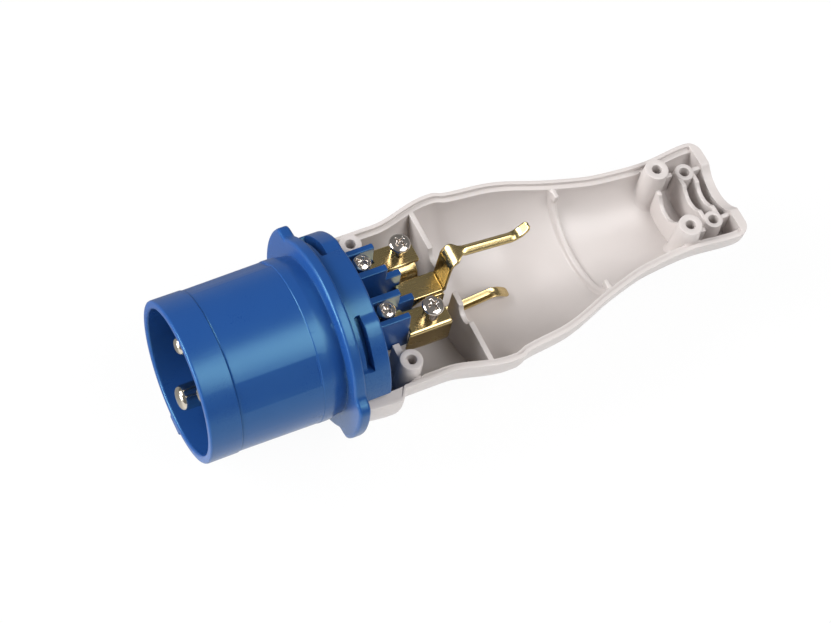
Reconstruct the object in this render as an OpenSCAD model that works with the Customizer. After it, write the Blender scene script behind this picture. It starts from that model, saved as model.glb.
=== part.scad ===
// Plug adapter, shown open: a round three-pin plug front seated in one half of a split handle.
// Screw clamps take the pins of a moulded plug, and two spring arms reach its side earth contacts.
// Lengths are in millimetres. The modules are drawn with the plug's axis on X, the rim of the shroud
// at x = 0 and the parting plane of the handle at z = 0. The seat module then sets them on the ground.

/* [Shroud] */
// Outside diameter at the rim
shroud_d = 44; // [42:0.5:46]
// Wall thickness
shroud_wall = 2; // [1.6:0.1:2.6]
// Length from the rim to the flange
shroud_len = 38.4; // [36:0.1:46]
// Growth of the radius from the rim to the flange
shroud_draft = 0.4; // [0:0.1:0.8]
// Length of the raised band behind the rim
band_len = 8.8; // [6:0.1:12]
// Height of the raised band
band_step = 0.3; // [0.1:0.05:0.5]
// Length of the raised ring in front of the flange
ring_len = 6.8; // [5:0.1:10]
// Height of the raised ring
ring_step = 0.15; // [0.1:0.05:0.4]
// Width and depth of the slope between the shroud and the flange
root_fillet = 2; // [1:0.1:2.5]
// Width of the two flat panels
panel_w = 8.6; // [5:0.1:10]
// Length of the two flat panels
panel_len = 22; // [10:0.5:22]
// Angle of a flat panel above the parting plane
panel_angle = 40; // [30:1:50]
// Width of the key rib under the shroud
key_w = 6.3; // [4:0.1:8]
// Height of the key rib
key_h = 3.3; // [1.5:0.1:4]

/* [Flange and neck] */
// Thickness of the flange
flange_t = 3.4; // [2.4:0.1:6]
// Diameter of the flange between its lobes
flange_d = 53; // [51:0.1:54]
// Height of the two grip lobes above the flange
lobe_h = 2.8; // [1.5:0.1:5]
// Angle of a grip lobe's lower end from the parting plane
lobe_from = -14; // [-30:1:0]
// Angle of a grip lobe's upper end from the parting plane
lobe_to = 33; // [20:1:50]
// Diameter of the neck
neck_d = 46.6; // [46:0.1:48]
// Length of the neck behind the flange
neck_len = 7.2; // [4.5:0.1:8]
// Diameter of the lug over the open half of the neck
lug_d = 52; // [50:0.1:52.9]
// Gap between the ends of the lug and the rim of the handle
lug_gap = 0.3; // [0.2:0.1:1]
// Distance from the flange to the two slots in the lug
lug_slot_gap = 2.6; // [0.6:0.1:4]
// Length of the slots along the axis
lug_slot_len = 1.3; // [0.8:0.1:2]
// Depth of the slots
lug_slot_depth = 2.2; // [1:0.1:2.6]
// Angle from the parting plane to the lower end of each slot
lug_slot_from = 31; // [24:1:40]
// Angle from the parting plane to the upper end of each slot
lug_slot_to = 64; // [62:1:72]
// Depth of the two dips behind the upper ends of the slots
dip_depth = 0.8; // [0.4:0.1:1.5]
// Angle from the parting plane to the lower end of each dip
dip_from = 58; // [52:1:60]
// Angle from the parting plane to the upper end of each dip
dip_to = 66; // [62:1:72]
// Thickness of the pin base
base_t = 12; // [9:0.5:14]

/* [Terminal chambers] */
// Height of the chamber walls above the axis
chamber_top = 15.3; // [12:0.1:17]
// Length of the chambers behind the pin base
chamber_len = 11.3; // [10.5:0.1:13]
// Height of the low ends of the inner walls
low_top = 10.1; // [8:0.1:11.5]
// Length of the low ends of the inner walls
low_len = 4.7; // [2:0.1:5]
// Clear width of a line or neutral chamber
line_slot_w = 5.4; // [5.3:0.1:6]
// Clear width of the earth chamber
earth_slot_w = 6; // [5.9:0.1:6.6]
// Thickness of the outer walls
outer_wall = 1.7; // [1.2:0.1:2.2]
// Thickness of the chamber floors
floor_t = 1.6; // [1:0.1:2]
// Depth of the earth chamber's floor below the earth pin
floor_gap = 0.4; // [0.2:0.1:1]

/* [Pins] */
// Diameter of the line and neutral pins
line_pin_d = 5; // [4.8:0.1:5.2]
// Diameter of the earth pin
earth_pin_d = 7; // [6.5:0.1:7.5]
// Distance of the line and neutral pins from the axis
line_pitch = 8.8; // [8.6:0.1:9.4]
// Distance of the earth pin from the axis
earth_pitch = 10; // [9:0.1:10.4]
// Angle of the line and neutral pins above the parting plane
pin_angle = 30; // [28:1:32]
// Distance from the rim to the tips of the line and neutral pins
line_tip = 2.5; // [1:0.1:6]
// Distance from the rim to the tip of the earth pin
earth_tip = 0.5; // [0.2:0.1:3]
// Step from a pin's radius to the thicker root that sits in the pin base
root_step = 0.5; // [0.2:0.1:0.8]
// Length of the pins behind the pin base
pin_tail = 9.5; // [8.6:0.1:10]
// Diameter of the earth pin's tail
earth_tail_d = 5.8; // [5:0.1:5.8]
// Clearance around a pin in the pin base
pin_clear = 0.05; // [0.02:0.01:0.1]

/* [Screws] */
// Distance from the pin base to the pin screws
pin_screw_at = 5.8; // [4:0.1:6]
// Head diameter of the pin screws
pin_head_d = 5.2; // [4.6:0.1:5.2]
// Thread diameter of the pin screws
pin_thread_d = 3; // [2.5:0.1:3.2]
// Height of the top of the pin screws above the axis
pin_screw_top = 15.9; // [13:0.1:18]
// Head diameter of the clamp screws
clamp_head_d = 6.1; // [5:0.1:6.4]
// Thread diameter of the clamp screws
clamp_thread_d = 4; // [3.5:0.1:4.5]
// Height of the top of the clamp screws above the axis
clamp_screw_top = 13.8; // [11.5:0.1:15]
// Height of a screw head
head_h = 2.4; // [1.8:0.1:2.8]
// Span of the cross recess
recess_span = 3.2; // [2.4:0.1:3.8]
// Width of the cross recess
recess_w = 0.9; // [0.6:0.1:1.2]
// Depth of the cross recess
recess_depth = 1.2; // [0.8:0.1:1.6]
// Clearance around a thread in its hole
thread_clear = 0.05; // [0.02:0.01:0.1]

/* [Contacts] */
// Sheet thickness of the line and neutral contacts
contact_t = 1; // [0.8:0.05:1.2]
// Width of the tongue on a pin
tongue_w = 4.6; // [4:0.1:5]
// Length of the tongue in front of the clamp plate
tongue_len = 9.4; // [8:0.1:9.8]
// Width of the clamp plate
plate_w = 7.3; // [7:0.1:8]
// Length of the clamp plate
plate_len = 12; // [11:0.1:14]
// Length of the round clamp socket
socket_len = 7.2; // [5:0.1:7.4]
// Inside radius of the round clamp socket
socket_r = 3.3; // [2.8:0.1:3.5]
// Angle from the side wall over the open top of the socket
socket_open = 130; // [100:5:150]
// Spacing of the two pins of the enclosed plug
plug_spacing = 19; // [18.6:0.1:19.4]
// Distance from the clamp plate's front to the clamp screw
clamp_at = 7; // [5:0.1:8]
// Gap between sheet pieces that lie on each other
sheet_gap = 0.05; // [0.02:0.01:0.1]

/* [Earth spring] */
// Sheet thickness of the earth strip and the spring arms
earth_t = 0.9; // [0.7:0.05:1]
// Width of the earth strip
strip_w = 5.6; // [4.5:0.1:5.7]
// Width of the spring arms at their foot
arm_w = 6.3; // [4:0.1:7]
// Width of the spring arms along their reach
reach_w = 3; // [2.2:0.1:3.6]
// Height of the strip's middle step above the axis
strip_mid = 0.2; // [-1:0.1:1]
// Height of the strip's raised end above the axis
strip_end = 3.6; // [3:0.1:4.5]
// Half height of the spring arms where they leave the riser
arm_rise = 17; // [15.5:0.1:17.2]
// Half height of the spring arms at their throat
arm_throat = 15.4; // [14:0.1:15.4]
// Half height of the spring arms at their tips
arm_tip = 17.4; // [16:0.1:17.6]
// Length of an arm from its riser to its throat
arm_reach = 20.4; // [16:0.1:22]
// Length of an arm's flared tip
tip_len = 3.6; // [2:0.1:4]
// Distance from the contacts' rear ends to the risers
riser_gap = 3.7; // [3:0.1:4.5]
// Length over which the lower arm's foot laps the strip
foot_lap = 4; // [3:0.1:4.4]
// Distance from the riser to the upper arm's taper
taper_gap = 2.3; // [1:0.1:3]
// Length of an arm's taper
taper_run = 2.3; // [1.5:0.1:4]
// Distance from the riser to the lower arm's taper, ahead of the bulkhead
lower_taper_gap = 0.6; // [0.2:0.1:0.8]

/* [Handle shell] */
// Outside diameter of the front collar
collar_d = 55; // [54:0.1:56]
// Depth of the flat under the collar, on which the handle stands
foot_cut = 0.5; // [0.2:0.1:1]
// Length of the front collar
collar_len = 11.2; // [9:0.1:12]
// Gap between the flange and the collar
collar_gap = 0.6; // [0.3:0.1:1]
// Clearance of the neck in its seat
seat_clear = 0.2; // [0.1:0.05:0.4]
// Length of the whole half shell
shell_len = 124.1; // [120:0.1:135]
// Wall thickness
shell_wall = 2.65; // [2.2:0.05:3]
// Height of the outer lip above the parting plane
lip_h = 1.2; // [0.6:0.1:1.6]
// Width of the outer lip
lip_w = 1.25; // [0.9:0.05:1.5]
// Width behind the collar
front_w = 48.8; // [47:0.2:51]
// Depth behind the collar
front_depth = 21.5; // [21.2:0.1:23]
// Width at the belly
belly_w = 55.6; // [53:0.2:60]
// Depth at the belly
belly_depth = 22.4; // [21.8:0.1:25]
// Distance from the collar's front to the belly
belly_at = 42.6; // [41:0.1:45]
// Length of the rounded step behind the collar
step_run = 1.5; // [1:0.1:4]
// Length of the straight stretch behind that step
front_run = 12; // [6:0.5:14]
// Length of the belly's widest stretch
belly_run = 2.3; // [1:0.1:4]
// Length of the step from the belly to the shoulder
shoulder_run = 2.7; // [2:0.1:5]
// Width at the shoulder behind the belly
shoulder_w = 53.6; // [52:0.2:56]
// Depth at the shoulder
shoulder_depth = 21.7; // [21:0.1:23]
// Distance from the cable end to the hip, where the taper starts
hip_back = 63.5; // [60:0.5:66]
// Width at the hip
hip_w = 50.4; // [48:0.2:52]
// Depth at the hip
hip_depth = 21; // [20.6:0.1:22]
// Distance from the cable end to the middle of the taper
taper_back = 45.5; // [42:0.5:48]
// Width at the middle of the taper
taper_w = 39; // [37:0.2:42]
// Depth at the middle of the taper
taper_depth = 15; // [14.4:0.1:17]
// Distance from the cable end to the waist
waist_back = 32.5; // [29:0.5:36]
// Width at the waist
waist_w = 32.8; // [31.6:0.2:35]
// Depth at the waist
waist_depth = 14.3; // [13.6:0.1:15]
// Distance from the cable end to the narrowest place of the tail
tail_back = 18.5; // [16:0.5:22]
// Width at the tail
tail_w = 30.7; // [30:0.1:32]
// Depth at the tail
tail_depth = 14.2; // [13:0.1:16]
// Width at the cable end
end_w = 33; // [31:0.2:38]
// Corner radius at the cable end
end_r = 4; // [2:0.1:5]
// Radius of the cable notch in the rear wall
notch_r = 10; // [8:0.1:14]
// Depth of the cable notch below the parting plane
notch_depth = 2.8; // [1:0.1:5]

/* [Ribs and bosses] */
// Distance from the collar's front to the bulkhead
bulkhead_at = 36.6; // [35.6:0.1:37.6]
// Thickness of the bulkhead
bulkhead_t = 1.5; // [1.2:0.1:2.5]
// Width of the bulkhead's middle slot
slot_w = 4.6; // [4:0.1:6]
// Radius of the bulkhead's pin notches
pin_notch_r = 2.8; // [2.5:0.1:3.5]
// Distance from the cable end to the arch rib
arch_at = 46; // [42:0.5:50]
// Width of the arch rib
arch_w = 1.7; // [1.2:0.1:2.5]
// Height of the arch rib
arch_h = 1.2; // [0.6:0.1:2]
// Length of the arch rib's end tabs
tab_len = 2.8; // [2:0.1:4]
// Thickness of the rear ribs
rib_t = 1.3; // [1:0.1:1.8]
// Radius of the cable cradle in the rear ribs
cradle_r = 5; // [4:0.1:5.4]
// Depth of the cable cradle in the clamp ribs
cradle_depth = 2.4; // [1:0.1:4]
// Depth of the cable cradle in the web between the rear bosses
web_dip = 4.6; // [3:0.1:5]
// Drop of the web between the rear bosses below the parting plane
web_drop = 1; // [0.2:0.1:2]
// Height of the ribs between the front bosses and the chambers above the parting plane
front_rib_h = 3; // [1:0.1:5]
// Distance from the front bosses' middle forward to those ribs
front_rib_back = 2.2; // [1.4:0.1:2.6]
// Length of the side ribs behind the rear bosses
side_rib_len = 6.5; // [4:0.1:7]
// Diameter of the front bosses
front_boss_d = 6.3; // [5.5:0.1:6.6]
// Height of the front bosses above the parting plane
front_boss_h = 5.3; // [3:0.1:6]
// Distance from the collar's front to the front bosses
front_boss_at = 15.6; // [15.1:0.1:17.6]
// Spacing of the front bosses
front_boss_gap = 37.7; // [36.5:0.1:38.5]
// Diameter of the rear bosses
rear_boss_d = 6.8; // [6:0.1:7.2]
// Height of the rear bosses above the parting plane
rear_boss_h = 5; // [3:0.1:6]
// Distance from the cable end to the rear bosses
rear_boss_at = 17.4; // [16.5:0.1:19]
// Spacing of the rear bosses
rear_boss_gap = 19.5; // [18.5:0.1:20]
// Diameter of the clamp bosses
clamp_boss_d = 5.5; // [5:0.1:6]
// Height of the clamp bosses above the parting plane
clamp_boss_h = 0.3; // [0.1:0.1:1]
// Distance from the cable end to the clamp bosses
clamp_boss_at = 7.8; // [7:0.1:8.4]
// Spacing of the clamp bosses
clamp_boss_gap = 16.8; // [16:0.1:17.6]
// Diameter of the screw holes in the bosses
boss_hole_d = 2.8; // [2.4:0.1:3.2]
// Depth of the screw holes in the bosses
boss_hole_depth = 9; // [6:0.5:10]

/* [Hidden] */
$fn = 64;

// Overlap that fuses two shapes of one moulding
fuse = 0.2;
// Room that a cut reaches past the solid it cuts
past = 1;

// Diameter across the two grip lobes
lobe_d = flange_d + 2 * lobe_h;
// Angle from the parting plane to each end of the lug
lug_angle = asin(2 * (lip_h + lug_gap) / neck_d);
// Depth of the flat under the collar below the axis
foot_depth = collar_d / 2 - foot_cut;

// Places along the axis
flange_x = shroud_len;
neck_x = flange_x + flange_t;
back_x = neck_x + neck_len;
cavity_x = back_x - base_t;
collar_x = neck_x + collar_gap;
rear_x = collar_x + shell_len;
seat_x = back_x + seat_clear;

// Places of the pins and their chambers
pin_y = line_pitch * cos(pin_angle);
pin_z = line_pitch * sin(pin_angle);
slot_in = pin_y - line_slot_w / 2;
slot_out = pin_y + line_slot_w / 2;
chamber_x = back_x + chamber_len;
earth_floor = -earth_pitch - earth_tail_d / 2 - floor_gap;
pin_screw_x = back_x + pin_screw_at;

// Places of the contacts
plate_z = pin_z + line_pin_d / 2 + sheet_gap;
plate_x = chamber_x + thread_clear;
plate_end = plate_x + plate_len;
socket_y = plug_spacing / 2;
plate_out = socket_y + socket_r + contact_t;
clamp_x = plate_x + clamp_at;
clamp_y = plate_out - plate_w / 2;

// Places of the earth spring, on the sheets' middle planes
foot_z = -earth_pitch + earth_tail_d / 2 + sheet_gap + earth_t / 2;
low_x = chamber_x + low_len;
riser_x = plate_end + riser_gap;
strip_top_x = riser_x - foot_lap - 2 * earth_t;
upper_z = strip_end + earth_t + sheet_gap;
lower_z = strip_end - earth_t - sheet_gap;
throat_x = riser_x + arm_reach;

// Places of the shell's features
bulkhead_x = collar_x + bulkhead_at;

// Ground level and middle of the whole part
rest_z = max(foot_depth, flange_d / 2, shroud_d / 2 + shroud_draft + key_h);
mid_x = rear_x / 2;

// Outline of the shell: distance from the collar's front, half width, depth
front_at = collar_len + step_run;
shoulder_at = belly_at + belly_run + shoulder_run;
outline = [
    [collar_len - 2 * fuse, collar_d / 2 - fuse, foot_depth - fuse],
    [collar_len + fuse, collar_d / 2 - 2 * fuse, foot_depth - 2 * fuse],
    [front_at, front_w / 2, front_depth],
    [front_at + front_run, front_w / 2, front_depth],
    [belly_at, belly_w / 2, belly_depth],
    [belly_at + belly_run, belly_w / 2, belly_depth],
    [shoulder_at, shoulder_w / 2, shoulder_depth],
    [shell_len - hip_back, hip_w / 2, hip_depth],
    [shell_len - taper_back, taper_w / 2, taper_depth],
    [shell_len - waist_back, waist_w / 2, waist_depth],
    [shell_len - tail_back, tail_w / 2, tail_depth],
    [shell_len - end_r, end_w / 2, tail_depth]
];
outline_last = len(outline) - 1;

// Steps of the shell's surface along the axis and around it
station_step = 3;
arc_steps = 16;
// Angles of the stations around the rounded cable end
end_angles = [45, 65, 90];
// Widest angle of one triangle of a flat sector
sector_step = 40;

// Slope of the outline's chord after row k in column c
function chord(k, c) = (outline[k + 1][c] - outline[k][c]) / (outline[k + 1][0] - outline[k][0]);

// Slope at row k that keeps the curve from overshooting its rows
function slope(k, c) =
    k == 0 || k == outline_last ? 0 :
    chord(k - 1, c) * chord(k, c) <= 0 ? 0 :
    2 * chord(k - 1, c) * chord(k, c) / (chord(k - 1, c) + chord(k, c));

// Row of the outline that starts the stretch holding distance s
function row_at(s, k = 0) = k == outline_last - 1 || s < outline[k + 1][0] ? k : row_at(s, k + 1);

// Cubic through the rows k and k + 1 at share t of the stretch between them
function cubic(k, c, t) =
    let (run = outline[k + 1][0] - outline[k][0])
    (2 * t * t * t - 3 * t * t + 1) * outline[k][c]
    + (t * t * t - 2 * t * t + t) * run * slope(k, c)
    + (3 * t * t - 2 * t * t * t) * outline[k + 1][c]
    + (t * t * t - t * t) * run * slope(k + 1, c);

// Inset of the rounded cable end at distance s
function end_inset(s) =
    let (over = s - shell_len + end_r)
    over <= 0 ? 0 : end_r - sqrt(max(0, end_r * end_r - over * over));

// Half width (c = 1) or depth (c = 2) of the shell's outside at distance s
function outside(s, c) =
    let (held = min(max(s, outline[0][0]), shell_len - end_r))
    let (k = row_at(held))
    cubic(k, c, (held - outline[k][0]) / (outline[k + 1][0] - outline[k][0])) - end_inset(s);

// The same for the hollow, which runs straight through the collar
function hollow(s, c) = outside(max(s, front_at), c) - shell_wall;

// Lower half of an ellipse at x, from the +Y side to the -Y side
function bowl(x, w, d) = [
    for (i = [0:arc_steps])
        let (a = 180 * i / arc_steps)
            [x, w * cos(a), -d * sin(a)]
];

// Distances along the outline from row k to its end, in even steps between the rows
function stations(k) = [
    for (i = [k:outline_last - 1])
        let (run = outline[i + 1][0] - outline[i][0], count = ceil(run / station_step))
            for (j = [0:count - 1]) outline[i][0] + run * j / count
];

// Seats the part: lowest point on the ground and middle over the origin
module seat() translate([-mid_x, 0, rest_z]) children();

// Extrudes a shape drawn in Y and Z along X, from x with the given length
module along_x(x, length) translate([x, 0, 0]) rotate([90, 0, 90]) linear_extrude(length) children();

// Round bar along X
module bar_x(x, length, d) translate([x, 0, 0]) rotate([0, 90, 0]) cylinder(d = d, h = length);

// Block from a low corner to a high corner
module block(low, high) translate(low) cube(high - low);

// Flat sector between two angles, drawn in Y and Z
module sector(from, to, reach) {
    steps = ceil((to - from) / sector_step);
    turn = (to - from) / steps;
    rim = [for (i = [0:steps]) 2 * reach * [cos(from + i * turn), sin(from + i * turn)]];
    polygon(concat([[0, 0]], rim));
}

// Part of a ring between two angles, extruded along X
module ring_sector(x, length, inner_d, outer_d, from, to)
    along_x(x, length)
        intersection() {
            difference() {
                circle(d = outer_d);
                circle(d = inner_d);
            }
            sector(from, to, outer_d);
        }

// Turned outline of the plug front, as radius and place along the axis
module front_outline() {
    body_r = shroud_d / 2;
    root_r = body_r + shroud_draft;
    inner_r = body_r - shroud_wall;
    polygon([
        [0, cavity_x],
        [inner_r, cavity_x],
        [inner_r, 0],
        [body_r + band_step - fuse, 0],
        [body_r + band_step, 2 * fuse],
        [body_r + band_step, band_len],
        [body_r + shroud_draft * band_len / shroud_len, band_len + band_step],
        [root_r, flange_x - ring_len],
        [root_r + ring_step, flange_x - ring_len + ring_step],
        [root_r + ring_step, flange_x - root_fillet],
        [root_r + ring_step + root_fillet / 2, flange_x],
        [flange_d / 2, flange_x],
        [flange_d / 2, neck_x],
        [neck_d / 2, neck_x],
        [neck_d / 2, back_x],
        [0, back_x]
    ]);
}

// Cuts one flat panel into the shroud on the +Y side
module panel_cut() {
    panel_r = shroud_d / 2 + shroud_draft;
    flat_at = sqrt(panel_r * panel_r - panel_w * panel_w / 4);
    rotate([panel_angle, 0, 0])
        block([band_len + 2 * band_step, flat_at, -panel_w / 2],
              [min(band_len + 2 * band_step + panel_len, flange_x - ring_len), lobe_d, panel_w / 2]);
}

// Chamber walls behind the pin base on the +Y side
module chamber_walls() {
    block([back_x - fuse, slot_out, 0], [chamber_x, slot_out + outer_wall, chamber_top]);
    block([back_x - fuse, earth_slot_w / 2, earth_floor - floor_t], [chamber_x, slot_in, chamber_top]);
    block([chamber_x - fuse, earth_slot_w / 2, earth_floor - floor_t], [low_x, slot_in, low_top]);
    block([back_x - fuse, slot_in - fuse, 0], [chamber_x, slot_out + fuse, floor_t]);
}

// Lug over the open half of the neck, nearly flush with the flange
module neck_lug()
    ring_sector(neck_x - fuse, neck_len + fuse, neck_d - 2 * fuse, lug_d, lug_angle, 180 - lug_angle);

// Cuts the slot in the lug on the +Y side, and the dip behind its upper end
module lug_cut() {
    slot_x = neck_x + lug_slot_gap;
    dip_x = slot_x + lug_slot_len / 2;
    over_d = lug_d + 2 * past;
    ring_sector(slot_x, lug_slot_len, lug_d - 2 * lug_slot_depth, over_d, lug_slot_from, lug_slot_to);
    ring_sector(dip_x, back_x - dip_x + past, lug_d - 2 * dip_depth, over_d, dip_from, dip_to);
}

// Grip lobe of the flange between two angles
module grip_lobe(from, to) ring_sector(flange_x, flange_t, flange_d - 2 * past, lobe_d, from, to);

// Bore through the pin base for the root of a pin
module root_bore(d) bar_x(cavity_x - past, base_t + 2 * past, d + 2 * root_step + 2 * pin_clear);

// Blue moulding with the shroud, flange, neck, pin base and chambers
module plug_front() {
    color("royalblue")
        difference() {
            union() {
                rotate([0, 90, 0]) rotate_extrude($fn = 128) front_outline();
                for (side = [0, 180]) grip_lobe(side + lobe_from, side + lobe_to);
                neck_lug();
                for (side = [0, 1]) mirror([0, side, 0]) chamber_walls();
                block([2 * fuse, -key_w / 2, -shroud_d / 2 - key_h],
                      [flange_x + fuse, key_w / 2, -shroud_d / 2 + shroud_wall / 2]);
                block([back_x - fuse, -slot_in, earth_floor - floor_t], [low_x, slot_in, earth_floor]);
            }
            for (side = [0, 1])
                mirror([0, side, 0]) {
                    panel_cut();
                    lug_cut();
                    translate([0, pin_y, pin_z]) root_bore(line_pin_d);
                }
            translate([0, 0, -earth_pitch]) root_bore(earth_pin_d);
        }
}

// Round pin with a domed tip, a thicker root in the base, a tail and a cross hole for its screw
module pin(tip, d, tail_d) {
    difference() {
        union() {
            intersection() {
                bar_x(tip, cavity_x - tip + fuse, d);
                union() {
                    translate([tip + d, 0, 0]) sphere(r = d);
                    bar_x(tip + d, cavity_x, 2 * d);
                }
            }
            bar_x(cavity_x, base_t, d + 2 * root_step);
            bar_x(back_x - fuse, pin_tail + fuse, tail_d);
        }
        translate([pin_screw_x, 0, -tail_d])
            cylinder(d = pin_thread_d + 2 * thread_clear, h = 2 * tail_d);
    }
}

module earth_pin()
    color("silver")
        translate([0, 0, -earth_pitch]) pin(earth_tip, earth_pin_d, earth_tail_d);

module line_pin()
    color("silver")
        translate([0, pin_y, pin_z]) pin(line_tip, line_pin_d, line_pin_d);

module neutral_pin() mirror([0, 1, 0]) line_pin();

// Screw with a domed head and a cross recess, standing on z = 0 with its thread below
module pan_screw(head_d, thread_d, thread_len) {
    color("gainsboro")
        difference() {
            union() {
                intersection() {
                    cylinder(d = head_d, h = head_h);
                    translate([0, 0, head_h - head_d]) sphere(r = head_d);
                }
                translate([0, 0, -thread_len]) cylinder(d = thread_d, h = thread_len + fuse);
            }
            for (turn = [0, 90])
                rotate(turn)
                    translate([0, 0, head_h])
                        cube([recess_span, recess_w, 2 * recess_depth], center = true);
        }
}

// Screw in the line pin, reaching the pin's middle
module line_pin_screw() {
    head_z = pin_screw_top - head_h;
    translate([pin_screw_x, pin_y, head_z]) pan_screw(pin_head_d, pin_thread_d, head_z - pin_z);
}

module neutral_pin_screw() mirror([0, 1, 0]) line_pin_screw();

// Screw on the earth strip's foot, reaching the earth pin's middle
module earth_pin_screw() {
    head_z = foot_z + earth_t / 2 + sheet_gap;
    translate([pin_screw_x, 0, head_z]) pan_screw(pin_head_d, pin_thread_d, head_z + earth_pitch);
}

// Screw over the line socket, reaching through the clamp plate
module line_clamp_screw() {
    head_z = clamp_screw_top - head_h;
    translate([clamp_x, clamp_y, head_z])
        pan_screw(clamp_head_d, clamp_thread_d, head_z - plate_z + contact_t);
}

module neutral_clamp_screw() mirror([0, 1, 0]) line_clamp_screw();

// Section of the round clamp socket, open at its upper outer side
module socket_section() {
    translate([socket_y, 0])
        intersection() {
            difference() {
                circle(r = socket_r + contact_t);
                circle(r = socket_r);
            }
            sector(socket_open, 360, socket_r + contact_t);
        }
}

// Folded brass contact: tongue on the pin, clamp plate, side wall and round socket
module line_contact() {
    color("darkgoldenrod")
        difference() {
            union() {
                block([plate_x - tongue_len, pin_y - tongue_w / 2, plate_z],
                      [plate_x + fuse, pin_y + tongue_w / 2, plate_z + contact_t]);
                block([plate_x, plate_out - plate_w, plate_z],
                      [plate_end, plate_out, plate_z + contact_t]);
                block([plate_x, plate_out - contact_t, -fuse], [plate_end, plate_out, plate_z + contact_t]);
                along_x(plate_end - socket_len, socket_len) socket_section();
            }
            translate([pin_screw_x, pin_y, plate_z - past])
                cylinder(d = pin_thread_d + 2 * thread_clear, h = contact_t + 2 * past);
            translate([clamp_x, clamp_y, plate_z - past])
                cylinder(d = clamp_thread_d + 2 * thread_clear, h = contact_t + 2 * past);
        }
}

module neutral_contact() mirror([0, 1, 0]) line_contact();

// Bent sheet of one thickness along a path in X and Z, extruded across Y
module bent_sheet(path, width) {
    translate([0, width / 2, 0]) rotate([90, 0, 0]) linear_extrude(width) {
        for (i = [0:len(path) - 2]) {
            step = path[i + 1] - path[i];
            translate(path[i]) rotate(atan2(step[1], step[0]))
                translate([0, -earth_t / 2]) square([norm(step), earth_t]);
        }
        for (i = [1:len(path) - 2]) translate(path[i]) circle(d = earth_t);
    }
}

// Earth strip: foot on the pin, two upward steps and a raised end for the arms
module earth_strip() {
    color("darkgoldenrod")
        difference() {
            bent_sheet([
                [back_x + past, foot_z],
                [back_x + pin_tail, foot_z],
                [chamber_x + past, strip_mid],
                [low_x + past, strip_mid],
                [strip_top_x, strip_end],
                [riser_x - 2 * earth_t, strip_end]
            ], strip_w);
            translate([pin_screw_x, 0, foot_z - past])
                cylinder(d = pin_thread_d + 2 * thread_clear, h = earth_t + 2 * past);
        }
}

// Plan of a spring arm: wide foot, taper and narrow reach
module arm_plan(taper_from) {
    taper_to = taper_from + taper_run;
    linear_extrude(4 * arm_tip, center = true)
        polygon([
            [low_x, -arm_w / 2], [taper_from, -arm_w / 2], [taper_to, -reach_w / 2],
            [throat_x + 2 * tip_len, -reach_w / 2], [throat_x + 2 * tip_len, reach_w / 2],
            [taper_to, reach_w / 2], [taper_from, arm_w / 2], [low_x, arm_w / 2]
        ]);
}

// Spring arm with its foot from start_x at height base_z, up = 1 for the upper arm and -1 for the lower
module spring_arm(start_x, base_z, up, taper_from) {
    color("darkgoldenrod")
        intersection() {
            bent_sheet([
                [start_x, base_z],
                [riser_x - earth_t / 2, base_z],
                [riser_x, up * arm_rise],
                [throat_x, up * arm_throat],
                [throat_x + tip_len, up * arm_tip]
            ], arm_w);
            arm_plan(taper_from);
        }
}

module upper_spring_arm() spring_arm(low_x + fuse, upper_z, 1, riser_x + taper_gap);
module lower_spring_arm() spring_arm(strip_top_x + earth_t, lower_z, -1, riser_x + lower_taper_gap);

// Splits four corners into two triangles
function halves(a, b, c, d) = [[a, b, c], [a, c, d]];

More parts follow.
